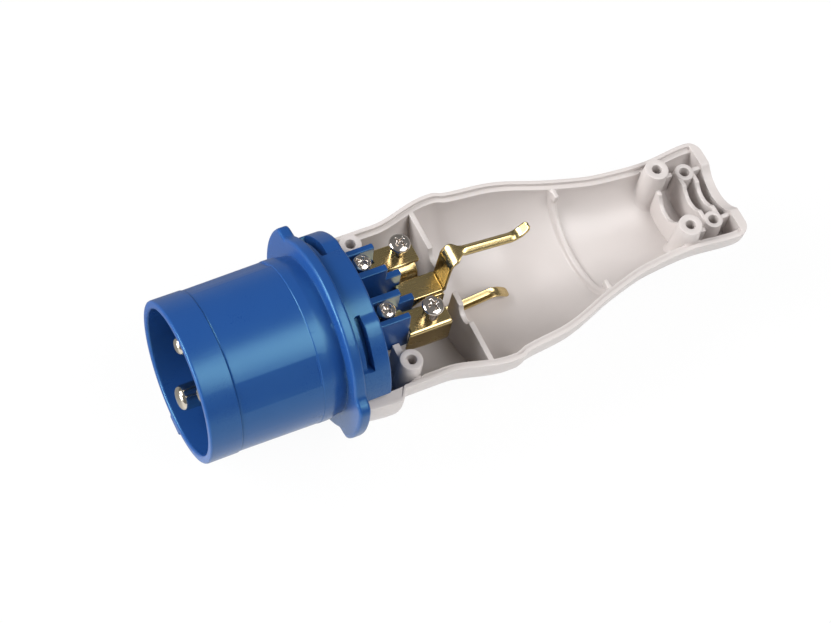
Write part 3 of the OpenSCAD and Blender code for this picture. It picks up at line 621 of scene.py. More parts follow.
@dataclass
class PlugFront:
    """Blue moulding with the shroud, flange, neck, pin base and terminal chambers."""

    material: Material
    mesher: Mesher = field(default_factory=Mesher)
    inner_r: float = 20.0
    rim_r: float = 22.3
    body_r: float = 22.09
    root_r: float = 22.4
    ring_r: float = 22.55
    flange_r: float = 26.5
    lobe_h: float = 2.8
    neck_r: float = 23.3
    neck_face: float = 3.0
    lug_h: float = 1.9
    cavity_x: float = 37.0
    band_end: float = 8.8
    ring_start: float = 31.6
    flange_x: float = 38.4
    neck_x: float = 41.8
    slot_wall: float = 45.1
    slot_angles: Point2 = (31.0, 66.0)
    top_dip: float = 1.1
    top_angles: Point2 = (62.0, 118.0)
    top_soft: float = 4.0
    back_x: float = 49.6
    outer_end: Point2 = (60.8, 59.8)
    chamber_x: float = 60.3
    low_x: float = 65.0
    panel_flat: float = 21.98
    panel_half: float = 11.1
    panel_angles: Point2 = (40.0, 140.0)
    panel_gaps: Point2 = (0.72, 0.3)
    lobe_from: float = -14.0
    lobe_to: float = 33.0
    lobe_soft: float = 4.0
    lug_angle: float = 7.5
    lug_soft: float = 0.7
    key_front: float = 0.4
    key_half: float = 3.15
    key_heights: Point2 = (-25.3, -21.0)
    key_round: float = 0.5
    wall_top: float = 15.3
    wall_sink: float = 1.0
    wall_lap: float = 0.4
    low_top: float = 10.1
    inner_wall: Point2 = (3.0, 4.92)
    inner_round: float = 0.22
    outer_wall: Point2 = (10.32, 12.02)
    outer_round: float = 0.3
    earth_floor: Point2 = (-14.9, -13.3)
    line_floor: Point2 = (0.0, 1.6)

    # Edges of the skin, as steps along the axis and out from it
    cavity_foot: Profile = ((0.0, -0.6), (-0.2, -0.2), (-0.7, 0.0))
    mouth_in: Profile = ((0.75, 0.0), (0.4, 0.07), (0.12, 0.28), (0.0, 0.62))
    mouth_out: Profile = ((0.0, -0.6), (0.1, -0.28), (0.32, -0.08), (0.7, 0.0))
    band_edge: Profile = ((-0.25, 0.0), (-0.08, -0.04), (0.0, -0.14))
    band_foot: Profile = ((0.1, -0.16), (0.25, -0.1), (0.4, 0.0), (0.62, 0.0))
    ring_foot: Profile = ((-0.2, 0.0), (0.0, -0.02))
    ring_edge: Profile = ((0.1, -0.06), (0.3, 0.0))
    groove: Profile = ((-4.4, 0.0), (-3.8, -0.04), (-3.0, -0.2), (-2.0, -0.45), (-1.0, -0.62),
                       (-0.25, -0.66), (-0.06, -0.58), (0.0, -0.4))
    flange_edge: Profile = ((0.0, -1.1), (0.06, -0.74), (0.22, -0.35), (0.48, -0.1), (0.85, 0.0))
    back_edge: Profile = ((-0.7, 0.0), (-0.36, -0.08), (-0.12, -0.28), (0.0, -0.65))
    # Depth of the lug's slots, by the step along the axis from their wall
    slot_depths: Profile = ((-3.3, 1.1), (-1.9, 1.1), (-1.6, 1.2), (-1.45, 1.5), (-1.3, 2.2), (-1.2, 3.4),
                            (-0.06, 3.4), (0.0, 0.14), (0.08, 0.04), (0.3, 0.0))

    def reach(self, ring: Ring, angle: float) -> float:
        """Radius of the skin.

        Args:
            ring: Ring to look at.
            angle: Angle around the axis.

        Returns:
            The radius at that angle.
        """
        if ring.band is Band.PLAIN:
            return ring.radius
        if ring.band is Band.PANEL:
            off = min(abs(angle - panel) for panel in self.panel_angles)
            flat = self.panel_flat / math.cos(math.radians(min(off, self.panel_half)))
            return min(ring.radius, flat) if off < self.panel_half else ring.radius
        lug = self.lug_h * window(angle, self.lug_angle, 180 - self.lug_angle, self.lug_soft)
        dip = self.top_dip * window(angle, *self.top_angles, self.top_soft)
        if ring.band is Band.LUG:
            low, high = self.slot_angles
            sides = ((low, high), (180 - high, 180 - low))
            slots = sum(window(angle, *side, self.lug_soft) for side in sides)
            return ring.radius + lug - max(dip, ring.slot * slots)
        lobes = sum(window(angle, turn + self.lobe_from, turn + self.lobe_to, self.lobe_soft)
                    for turn in (0, 180))
        disc = ring.radius + self.lobe_h * lobes
        return disc if ring.band is Band.FLANGE else max(disc, self.neck_r + (lug - dip))

    def shroud_rings(self) -> list[Ring]:
        """Lays out the shroud.

        Returns:
            Its rings, from the cavity's floor over the rim to the flange.
        """
        rim = moved(self.cavity_x, self.inner_r, self.cavity_foot) + moved(0.0, self.inner_r, self.mouth_in)
        rim += moved(0.0, self.rim_r, self.mouth_out) + moved(self.band_end, self.rim_r, self.band_edge)
        rim += moved(self.band_end, self.body_r, self.band_foot)
        start, stop = self.panel_gaps
        panel = [Ring(self.band_end + start, self.body_r, Band.PANEL),
                 Ring(self.ring_start - stop, self.root_r, Band.PANEL)]
        root = moved(self.ring_start, self.root_r, self.ring_foot)
        root += moved(self.ring_start, self.ring_r, self.ring_edge)
        root += moved(self.flange_x, self.ring_r, self.groove)
        return [Ring(*spot) for spot in rim] + panel + [Ring(*spot) for spot in root]

    def collar_rings(self) -> list[Ring]:
        """Lays out the flange and the neck.

        Returns:
            The rings of the flange, of the neck with its slotted lug, and of the rounded back.
        """
        front = moved(self.flange_x, self.flange_r, self.flange_edge)
        back = [(self.neck_x - along, self.flange_r + drop) for along, drop in self.flange_edge[::-1]]
        flange = [Ring(*spot, Band.FLANGE) for spot in front] + [Ring(*spot, Band.BACK) for spot in back]
        neck = [Ring(self.slot_wall + along, self.neck_r, Band.LUG, depth)
                for along, depth in self.slot_depths]
        neck += [Ring(*spot, Band.LUG) for spot in moved(self.back_x, self.neck_r, self.back_edge)]
        return flange + neck + [Ring(self.back_x, self.neck_r - self.neck_face)]

    def skin(self) -> None:
        """Adds the turned skin with its panels, lobes and lug."""
        marks = [angle + side * self.panel_half for angle in self.panel_angles for side in (-1, 1)]
        for angle in (self.lug_angle, *self.slot_angles):
            marks += [angle, 180 - angle]
        angles = angle_steps(marks, self.lug_soft)
        rings = []
        for ring in self.shroud_rings() + self.collar_rings():
            spots = [(self.reach(ring, angle), math.radians(angle)) for angle in angles]
            rings.append([Vector((ring.x, r * math.cos(a), r * math.sin(a))) for r, a in spots])
        self.mesher.loft(rings)

    def chambers(self) -> None:
        """Adds the walls and floors of the three terminal chambers."""
        start, low, top = self.back_x - self.wall_sink, self.earth_floor[0], self.wall_top
        foot, crown = self.outer_end
        inner = [(start, low), (self.low_x, low), (self.low_x, self.low_top),
                 (self.chamber_x, self.low_top), (self.chamber_x, top), (start, top)]
        outer = [(start, 0.0), (foot, 0.0), (crown, top), (start, top)]
        for side in Side:
            self.mesher.prism(inner, *side.span(*self.inner_wall), across_y, self.inner_round)
            self.mesher.prism(outer, *side.span(*self.outer_wall), across_y, self.outer_round)
            near, far = side.span(self.inner_wall[1] - self.wall_lap, self.outer_wall[0] + self.wall_lap)
            self.mesher.block((start, near, self.line_floor[0]), (crown, far, self.line_floor[1]))
        half = self.inner_wall[0] + self.wall_lap
        self.mesher.block((start, -half, low), (self.low_x, half, self.earth_floor[1]))

    def key(self) -> None:
        """Adds the key rib under the shroud."""
        low, high = self.key_heights
        end = self.flange_x + self.wall_lap
        self.mesher.block((self.key_front, -self.key_half, low), (end, self.key_half, high), self.key_round)

    def build(self) -> None:
        """Builds and dresses the moulding."""
        self.skin()
        self.chambers()
        self.key()
        self.mesher.make("plug_front", "blue_plastic", self.material)


@dataclass(frozen=True)
class Outline:
    """Smooth outline of the handle: distance from the collar's front, half width and depth."""

    rows: tuple[Point3, ...] = (
        (12.0, 24.4, 21.5), (24.7, 24.4, 21.5), (42.6, 27.8, 22.4), (44.9, 27.8, 22.4), (47.6, 26.8, 21.7),
        (60.6, 25.2, 21.0), (78.6, 19.5, 15.0), (91.6, 16.4, 14.3), (105.6, 15.35, 14.2),
        (120.1, 16.5, 14.2))

    def chord(self, row: int, column: int) -> float:
        """Slope of the straight line after a row."""
        here, then = self.rows[row], self.rows[row + 1]
        return (then[column] - here[column]) / (then[0] - here[0])

    def slope(self, row: int, column: int) -> float:
        """Slope that keeps the curve from overshooting.

        Args:
            row: Row to look at.
            column: 1 for the half width, 2 for the depth.

        Returns:
            The slope at that row.
        """
        if row in (0, len(self.rows) - 1):
            return 0.0
        before, after = self.chord(row - 1, column), self.chord(row, column)
        return 0.0 if before * after <= 0 else 2 * before * after / (before + after)

    def at(self, distance: float, column: int) -> float:
        """Half width or depth.

        Args:
            distance: Distance from the collar's front.
            column: 1 for the half width, 2 for the depth.

        Returns:
            The smooth value there.
        """
        held = min(max(distance, self.rows[0][0]), self.rows[-1][0])
        row = max(i for i in range(len(self.rows) - 1) if self.rows[i][0] <= held)
        here, then = self.rows[row], self.rows[row + 1]
        run = then[0] - here[0]
        t = (held - here[0]) / run
        first, last = run * self.slope(row, column), run * self.slope(row + 1, column)
        return ((2 * t ** 3 - 3 * t ** 2 + 1) * here[column] + (t ** 3 - 2 * t ** 2 + t) * first
                + (3 * t ** 2 - 2 * t ** 3) * then[column] + (t ** 3 - t ** 2) * last)


@dataclass(frozen=True)
class Boss:
    """Pair of screw bosses: distance from the collar's front, spacing, radius and height."""

    at: float
    gap: float
    radius: float
    top: float


@dataclass
class HalfShell:
    """Light-grey half of the handle with its bulkhead, ribs and screw bosses."""

    material: Material
    mesher: Mesher = field(default_factory=Mesher)
    outline: Outline = Outline()
    front_x: float = 42.4
    length: float = 124.1
    wall: float = 2.65
    wall_steps: int = 72
    station: float = 1.25
    collar_len: float = 10.0
    collar_slope: float = 1.9
    collar_crest: float = 7.0
    collar_round: float = 0.9
    collar_runout: float = 2.0
    collar_proud: Point2 = (2.2, 2.9)
    collar_drop: float = 2.6
    seat_r: float = 23.5
    seat_len: float = 8.4
    seat_blend: float = 11.0
    front_at: float = 12.0
    ledge_from: float = 8.5
    ledge_run: float = 7.0
    ledge_least: float = 0.04
    ledge_round: float = 0.12
    lip_h: float = 1.2
    lip_w: float = 1.25
    end_r: float = 4.0
    end_step: float = 0.34
    end_round: float = 0.3
    end_sharp: float = math.radians(50)
    cable_r: float = 10.0
    cable_z: float = 7.2
    hole_r: float = 1.4
    hole_depth: float = 9.0
    boss_draft: float = 0.3
    boss_brim: float = 0.5
    rib_t: float = 1.3
    rib_sink: float = 1.3
    rib_round: float = 0.25
    # Share of a boss's radius at which the ribs end in its wall
    rib_end: float = 0.7
    bulkhead_at: float = 36.6
    bulkhead_t: float = 1.5
    bulkhead_top: float = -0.04
    bulkhead_sink: float = 0.7
    bulkhead_round: float = 0.22
    slot_half: float = 2.3
    pin_notch: Point2 = (9.5, 2.8)
    arch_at: float = 78.1
    arch_angles: Point2 = (2.0, 178.0)
    arch_steps: int = 60
    tab: float = 2.8
    tab_sink: float = 0.6
    tab_top: float = -0.05
    tab_round: float = 0.35
    cradle_r: float = 5.0
    web_top: float = -1.0
    web_dip: float = 3.6
    clamp_dip: float = 2.4
    side_rib: float = 6.5
    front_rib: Point3 = (13.4, 12.22, 3.0)
    front_rib_t: float = 2.0
    front_boss: Boss = Boss(15.6, 37.7, 3.15, 5.3)
    rear_boss: Boss = Boss(106.7, 19.5, 3.4, 5.0)
    clamp_boss: Boss = Boss(116.3, 16.8, 2.75, 0.3)

    # Stations of the collar's front edge, with the inset of the outside there
    front_edge: Profile = ((0.0, 0.6), (0.1, 0.3), (0.32, 0.08), (0.7, 0.0), (2.5, 0.0), (4.6, 0.0))
    # Edges of the wall's top, as steps out and up
    lip_out: Profile = ((-0.4, 0.0), (-0.12, -0.1), (0.0, -0.38))
    lip_in: Profile = ((0.22, 0.0), (0.06, -0.06), (0.0, -0.22))
    hollow_edge: Profile = ((0.28, 0.0), (0.08, -0.06), (0.0, -0.3))
    # Fillet at a boss's foot, as steps up and out, and its top edges, as steps out and up
    boss_foot: Profile = ((-1.0, 1.1), (-0.1, 0.85), (0.1, 0.55), (0.4, 0.28), (0.9, 0.08), (1.5, 0.0))
    boss_edge: Profile = ((0.0, -0.35), (-0.1, -0.1), (-0.32, 0.0))
    hole_edge: Profile = ((0.3, 0.0), (0.08, -0.1), (0.0, -0.35))
    # Half of the arch rib's section, as steps along the axis and up
    arch_half: Profile = ((1.5, -0.5), (1.35, -0.02), (1.05, 0.12), (0.88, 0.45), (0.78, 0.85),
                          (0.55, 1.12), (0.2, 1.2))

    def end_inset(self, distance: float) -> float:
        """Inset of the rounded cable end."""
        over = distance - self.length + self.end_r
        return 0.0 if over <= 0 else self.end_r - math.sqrt(max(0.0, self.end_r ** 2 - over ** 2))

    @cached_property
    def collar(self) -> list[Point2]:
        """How far the collar stands proud, by distance from its front, with its rounded end."""
        first, last = self.collar_proud
        end, edge = self.collar_len, self.collar_round
        foot = end + self.collar_slope
        return rounded([(0.0, first, 0.0), (self.collar_crest, last, 0.0), (end, last, edge),
                        (foot, 0.0, edge), (foot + self.collar_runout, 0.0, 0.0)], 5)

    def outside(self, distance: float) -> Point2:
        """Size of the outside.

        Args:
            distance: Distance from the collar's front.

        Returns:
            Half width and depth.
        """
        inset, proud = self.end_inset(distance), 0.0
        for (near, low), (far, high) in zip(self.collar, self.collar[1:]):
            if near <= distance <= far:
                proud = low + (high - low) * (distance - near) / (far - near)
        deep = proud * (1 + self.collar_drop / self.collar_proud[1])
        return self.outline.at(distance, 1) + proud - inset, self.outline.at(distance, 2) + deep - inset

    def hollow(self, distance: float) -> Point2:
        """Size of the hollow.

        Args:
            distance: Distance from the collar's front.

        Returns:
            Half width and depth.
        """
        width, depth = self.outside(max(distance, self.front_at))
        share = smooth((distance - self.seat_len) / self.seat_blend)
        seat = self.seat_r * (1 - share)
        return seat + (width - self.wall) * share, seat + (depth - self.wall) * share

    def floor(self, x: float, y: float, sink: float = 0.0) -> float:
        """Height of the hollow's floor.

        Args:
            x: Place along the axis.
            y: Place across the axis.
            sink: Depth below the surface, into the wall.

        Returns:
            The height, at most that of the parting plane.
        """
        width, depth = self.hollow(x - self.front_x)
        share = min(abs(y) / (width + sink), 1.0)
        return -(depth + sink) * math.sqrt(1 - share ** 2)

    def section(self, distance: float, inset: float) -> list[Vector]:
        """Closed section of the wall.

        Args:
            distance: Distance from the collar's front.
            inset: Amount that the outside draws in, for a rounded front edge.

        Returns:
            Points around the outside, over the lip and back along the hollow.
        """
        width, depth = (value - inset for value in self.outside(distance))
        inner_w, inner_d = self.hollow(distance)
        top, lip, x = self.lip_h, width + inset - self.lip_w, self.front_x + distance
        share = smooth((distance - self.ledge_from) / self.ledge_run)
        sunk = self.ledge_least + (1 - self.ledge_least) * share
        ledge, edge = top * (1 - sunk), self.ledge_round
        outer = moved(width, top, self.lip_out)
        inner = [(lip + a, top + b * sunk) for a, b in self.lip_in]
        inner += [(lip, ledge + edge * sunk), (lip - edge, ledge)] + moved(inner_w, ledge, self.hollow_edge)
        start = -self.hollow_edge[-1][1] / inner_d
        lining = evenly(math.pi - start, start, self.wall_steps)[1:-1]
        ring = outer + arc(width, -depth, evenly(0.0, math.pi, self.wall_steps))
        ring += [(-y, z) for y, z in outer[::-1] + inner] + arc(inner_w, -inner_d, lining) + inner[::-1]
        return [Vector((x, y, z)) for y, z in ring]

    def wall_skin(self) -> None:
        """Adds the curved wall from the collar to the cable end."""
        stations = list(self.front_edge) + [(distance, 0.0) for distance, _ in self.collar[1:-1]]
        start, end = stations[-1][0], self.length - self.end_r
        count = int((end - start) / self.station)
        stations += [(start + i * self.station, 0.0) for i in range(1, count)]
        stations += [(end + i * self.end_step, 0.0) for i in range(5)]
        self.mesher.loft([self.section(distance, inset) for distance, inset in stations])

    def rear_wall(self) -> None:
        """Adds the rounded wall at the cable end with its cable notch."""
        part, rings = Mesher(), []
        for turn in (0, 12, 25, 40, 55, 70, 80, 90):
            distance = self.length - self.wall + self.wall * math.sin(math.radians(turn))
            width, depth = self.outside(distance)
            ring = arc(width, -depth, evenly(0.0, math.pi, self.wall_steps))
            for y in evenly(-width, width, 80):
                notch = self.cable_z - math.sqrt(max(0.0, self.cable_r ** 2 - y ** 2))
                ring.append((y, min(self.lip_h, notch) if abs(y) < self.cable_r else self.lip_h))
            rings.append([Vector((self.front_x + distance, y, z)) for y, z in ring])
        part.loft(rings)
        part.soften(self.end_round, self.end_sharp)
        self.mesher.absorb(part)

    def bosses(self, boss: Boss) -> None:
        """Adds a pair of bosses with screw holes and a fillet at the foot.

        Args:
            boss: Place and size of the pair.
        """
        turns, x, top = full_turn(48), self.front_x + boss.at, boss.top
        crown = moved(boss.radius, top, self.boss_edge) + moved(self.hole_r, top, self.hole_edge)
        crown.append((self.hole_r, top - self.hole_depth))
        for side in Side:
            y = side.value * boss.gap / 2
            rings = []
            for lift, flare in self.boss_foot:
                reach = boss.radius + self.boss_draft + flare
                spots = moved(x, y, arc(reach, reach, turns))
                rings.append([Vector((u, v, min(self.floor(u, v) + lift, top - self.boss_brim)))
                              for u, v in spots])
            for radius, z in crown:
                rings.append([Vector((u, v, z)) for u, v in moved(x, y, arc(radius, radius, turns))])
            self.mesher.loft(rings)

    def cross_rib(self, x: float, ends: Point2, top: float, dip: float, thickness: float) -> None:
        """Adds a rib across the hollow.

        Args:
            x: Middle of the rib.
            ends: Both ends across the axis.
            top: Height of its top edge.
            dip: Depth of the round cable cradle in that edge, or 0.
            thickness: Thickness of the rib.
        """
        across = evenly(*ends, 40)
        outline = [(y, self.floor(x, y, self.rib_sink)) for y in across]
        for y in across[::-1]:
            cradle = top
            if dip > 0 and abs(y) < self.cradle_r:
                cradle = top - dip + self.cradle_r - math.sqrt(self.cradle_r ** 2 - y ** 2)
            outline.append((y, min(top, cradle)))
        self.mesher.prism(outline, x - thickness / 2, x + thickness / 2, across_x, self.rib_round)

    def long_ribs(self, start: float, length: float, gap: float, top: float) -> None:
        """Adds a pair of ribs along the axis.

        Args:
            start: Front end of both.
            length: Length of both.
            gap: Distance between their middles.
            top: Height of their top edges.
        """
        along, half = evenly(start, start + length, 12), self.rib_t / 2
        for side in Side:
            y = side.value * gap / 2
            outline = [(x, self.floor(x, y, self.rib_sink)) for x in along]
            outline += [(x, top) for x in along[::-1]]
            self.mesher.prism(outline, y - half, y + half, across_y, self.rib_round)

    def bulkhead(self) -> None:
        """Adds the bulkhead with its slot and its two pin notches."""
        x, top = self.front_x + self.bulkhead_at, self.bulkhead_top
        width, depth = (value + self.bulkhead_sink for value in self.hollow(self.bulkhead_at))
        centre, radius = self.pin_notch
        notch = moved(centre, top, arc(-radius, -radius, evenly(0.0, math.pi, 16)))
        foot = arc(width, -depth, evenly(0.0, math.acos(self.slot_half / width), 30)[1:])
        half = [(self.slot_half, top), *notch, (width, top), *foot]
        for side in Side:
            outline = [(side.value * y, z) for y, z in half]
            self.mesher.prism(outline, x, x + self.bulkhead_t, across_x, self.bulkhead_round)

    def arch(self) -> None:
        """Adds the low arch rib around the hollow with a tab at each end."""
        x, rings = self.front_x + self.arch_at, []
        profile = [(-along, height) for along, height in self.arch_half] + list(self.arch_half[::-1])
        for angle in evenly(*self.arch_angles, self.arch_steps):
            turn, ring = math.radians(angle), []
            for along, height in profile:
                width, depth = self.hollow(self.arch_at + along)
                normal = Vector((-math.cos(turn) / width, math.sin(turn) / depth)).normalized()
                y, z = width * math.cos(turn), -depth * math.sin(turn)
                ring.append(Vector((x + along, y + normal.x * height, z + normal.y * height)))
            rings.append(ring)
        self.mesher.loft(rings)
        width, half = self.hollow(self.arch_at)[0], self.rib_t / 2
        for side in Side:
            near, far = side.span(width - self.tab, width + self.tab_sink)
            self.mesher.block((x - half, near, -self.tab), (x + half, far, self.tab_top), self.tab_round)

    def ribs(self) -> None:
        """Adds the straight ribs, which end in the walls of the bosses."""
        offset, inner, top = self.front_rib
        front_x = self.front_x + offset + self.front_rib_t / 2
        rear, clamp, rib_t = self.rear_boss, self.clamp_boss, self.rib_t
        rear_x, clamp_x = self.front_x + rear.at, self.front_x + clamp.at
        rear_wall, clamp_wall = self.rib_end * rear.radius, self.rib_end * clamp.radius
        for side in Side:
            ends = side.span(inner, self.front_boss.gap / 2)
            self.cross_rib(front_x, ends, top, 0.0, self.front_rib_t)
            x = clamp_x + side.value * (clamp.radius - rib_t / 2)
            self.cross_rib(x, (-clamp.gap / 2, clamp.gap / 2), 0.0, self.clamp_dip, rib_t)
        half = rear.gap / 2 - rear_wall
        self.cross_rib(rear_x, (-half, half), self.web_top, self.web_dip, rib_t)
        self.long_ribs(rear_x + rear_wall, self.side_rib - rear_wall, rear.gap, self.web_top)
        run = self.length - clamp.at - self.rib_sink - clamp_wall
        self.long_ribs(clamp_x + clamp_wall, run, clamp.gap, 0.0)

    def build(self) -> None:
        """Builds and dresses the half shell."""
        self.wall_skin()
        self.rear_wall()
        self.bulkhead()
        self.arch()
        for boss in (self.front_boss, self.rear_boss, self.clamp_boss):
            self.bosses(boss)
        self.ribs()
        self.mesher.make("half_shell", "grey_plastic", self.material)


@dataclass(frozen=True)
class Pin:
    """Round contact pin with a domed tip, a root in the base and a tail."""

    node: str
    y: float
    z: float
    tip: float
    radius: float
    tail_r: float
    root_x: float = 37.0
    back_x: float = 49.0
    end_x: float = 58.5
    root_step: float = 0.5
    # Distance behind the tip and share of the radius
    dome: Profile = ((0.05, 0.28), (0.2, 0.54), (0.42, 0.73), (0.75, 0.87), (1.15, 0.95), (1.6, 0.99),
                     (2.1, 1.0))
    tail_edge: Profile = ((-0.4, 0.0), (-0.1, -0.15), (0.0, -0.5))

    def build(self, material: Material) -> None:
        """Builds and dresses the pin.

        Args:
            material: Finish of the pin.
        """
        r, root_r = self.radius, self.radius + self.root_step
        profile = [(self.tip, 0.02)] + [(self.tip + back, share * r) for back, share in self.dome]
        profile += [(self.root_x, r), (self.root_x, root_r), (self.back_x, root_r)]
        profile += [(self.back_x, self.tail_r)] + moved(self.end_x, self.tail_r, self.tail_edge)
        mesher = Mesher()
        mesher.turned(profile, lambda along, u, v: Vector((along, self.y + u, self.z + v)), 72)
        mesher.make(self.node, "nickel", material)


@dataclass(frozen=True)
class PanScrew:
    """Screw with a domed head and a cross recess, pointing down."""

    node: str
    y: float
    top: float
    foot: float
    turn: float = 0.4
    x: float = 54.8
    head_r: float = 2.6
    head_h: float = 2.2
    thread_r: float = 1.5
    thread_pitch: float = 0.6
    thread_depth: float = 0.28
    brim_share: float = 0.42
    brim_edge: Profile = ((0.0, -0.25), (0.08, -0.08), (0.3, 0.0))
    recess_half: float = 1.75
    recess_w: float = 0.95
    # Height from the head's top and share of the recess's reach
    recess_steps: Profile = ((-1.2, 0.45), (-0.35, 0.85), (0.3, 1.08))

    def shank(self) -> list[Point2]:
        """Profile of the threaded shank.

        Returns:
            Height and radius of each point, from its tip up to the head.
        """
        root_r, base = self.thread_r - self.thread_depth, self.top - self.head_h
        points = [(self.foot, 0.3 * self.thread_r), (self.foot + 0.3, self.thread_r - 0.3)]
        z = self.foot + 0.45
        while z < base - self.thread_pitch:
            points += [(z, self.thread_r), (z + self.thread_pitch / 2, root_r)]
            z += self.thread_pitch
        return points + [(base, root_r)]

    def head(self) -> list[Point2]:
        """Profile of the domed head.

        Returns:
            Height and radius of each point, from its bearing face to its crown.
        """
        r, base = self.head_r, self.top - self.head_h
        brim = base + self.brim_share * self.head_h
        dome = arc(r, self.top - brim, [math.radians(a) for a in (12, 24, 36, 48, 59, 69, 78, 85)])
        crown = [(brim + rise, radius) for radius, rise in dome]
        return moved(base, r, self.brim_edge) + [(brim, r), *crown, (self.top, 0.02)]

    def recess(self) -> bpy.types.Object:
        """Shapes the cross recess.

        Returns:
            The cutter.
        """
        mesher, middle = Mesher(), Vector((self.x, self.y, self.top))
        for quarter in (self.turn, self.turn + math.pi / 2):
            spin = Matrix.Rotation(quarter, 3, "Z")
            rings = []
            for height, share in self.recess_steps:
                reach, half = self.recess_half * share, self.recess_w / 2 * (0.5 + 0.5 * share)
                corners = [(reach, -half), (reach, half), (-reach, half), (-reach, -half)]
                rings.append([spin @ Vector((u, v, height)) + middle for u, v in corners])
            mesher.loft(rings)
        return mesher.settle("recess")

    def build(self, material: Material) -> None:
        """Builds and dresses the screw, and cuts its recess.

        Args:
            material: Finish of the screw.
        """
        mesher, profile = Mesher(), self.shank() + self.head()
        mesher.turned(profile, lambda along, u, v: Vector((self.x + u, self.y + v, along)), 56)
        piece = mesher.make(self.node, "screw_steel", material)
        cutter = self.recess()
        cut = piece.modifiers.new("recess", "BOOLEAN")
        cut.object, cut.solver, cut.use_self = cutter, "EXACT", True
        piece.modifiers.move(1, 0)
        shown = piece.evaluated_get(bpy.context.evaluated_depsgraph_get())
        mesh = bpy.data.meshes.new_from_object(shown)
        piece.modifiers.clear()
        piece.data = mesh
        mesh.set_sharp_from_angle(angle=Mesher.SHARP)
        bpy.data.objects.remove(cutter)


@dataclass
class Contact:
    """Folded brass contact: tongue on the pin, clamp plate, side wall and round socket."""

    material: Material
    side: Side
    node: str
    thickness: float = 1.0
    tongue_x: tuple[float, ...] = (50.95, 52.95, 60.8)
    tongue_y: Point2 = (5.321, 9.921)
    plate_z: float = 7.45
    plate_x: Point2 = (60.35, 72.35)
    plate_in: Point2 = (6.5, 7.0)
    wall_y: float = 13.3
    wall_low: float = 0.6
    socket_y: float = 9.5
    socket_r: float = 3.8
    socket_x: float = 65.15
    socket_turn: float = 320.0
    socket_steps: int = 52
    socket_blend: int = 3
    bend_r: float = 0.6
    wall_x: float = 59.75

    def build(self) -> None:
        """Builds and dresses the contact."""
        near, inner = self.plate_in
        fold = rounded([(near, self.plate_z, 0), (self.wall_y, self.plate_z, self.bend_r),
                        (self.wall_y, self.wall_low, 0)], 6)
        turns = evenly(0.0, -math.radians(self.socket_turn), self.socket_steps)
        curl = moved(self.socket_y, 0.0, arc(self.socket_r, self.socket_r, turns))
        path = [fold[0], (inner, self.plate_z), *fold[1:], *curl]
        end = self.plate_x[1]
        spans = [self.plate_x] * 3 + [(self.wall_x, end)] * (len(fold) - 2)
        for i in range(len(curl)):
            share = smooth(i / self.socket_blend)
            spans.append((self.wall_x + (self.socket_x - self.wall_x) * share, end))
        mesher = Mesher()
        mesher.sheet(path, spans, self.thickness, across_x)
        tongue = [(x, self.plate_z) for x in self.tongue_x]
        mesher.sheet(tongue, [self.tongue_y] * len(tongue), self.thickness, across_y)
        if self.side is Side.NEUTRAL:
            mesher.mirror()
        mesher.make(self.node, "brass", self.material)


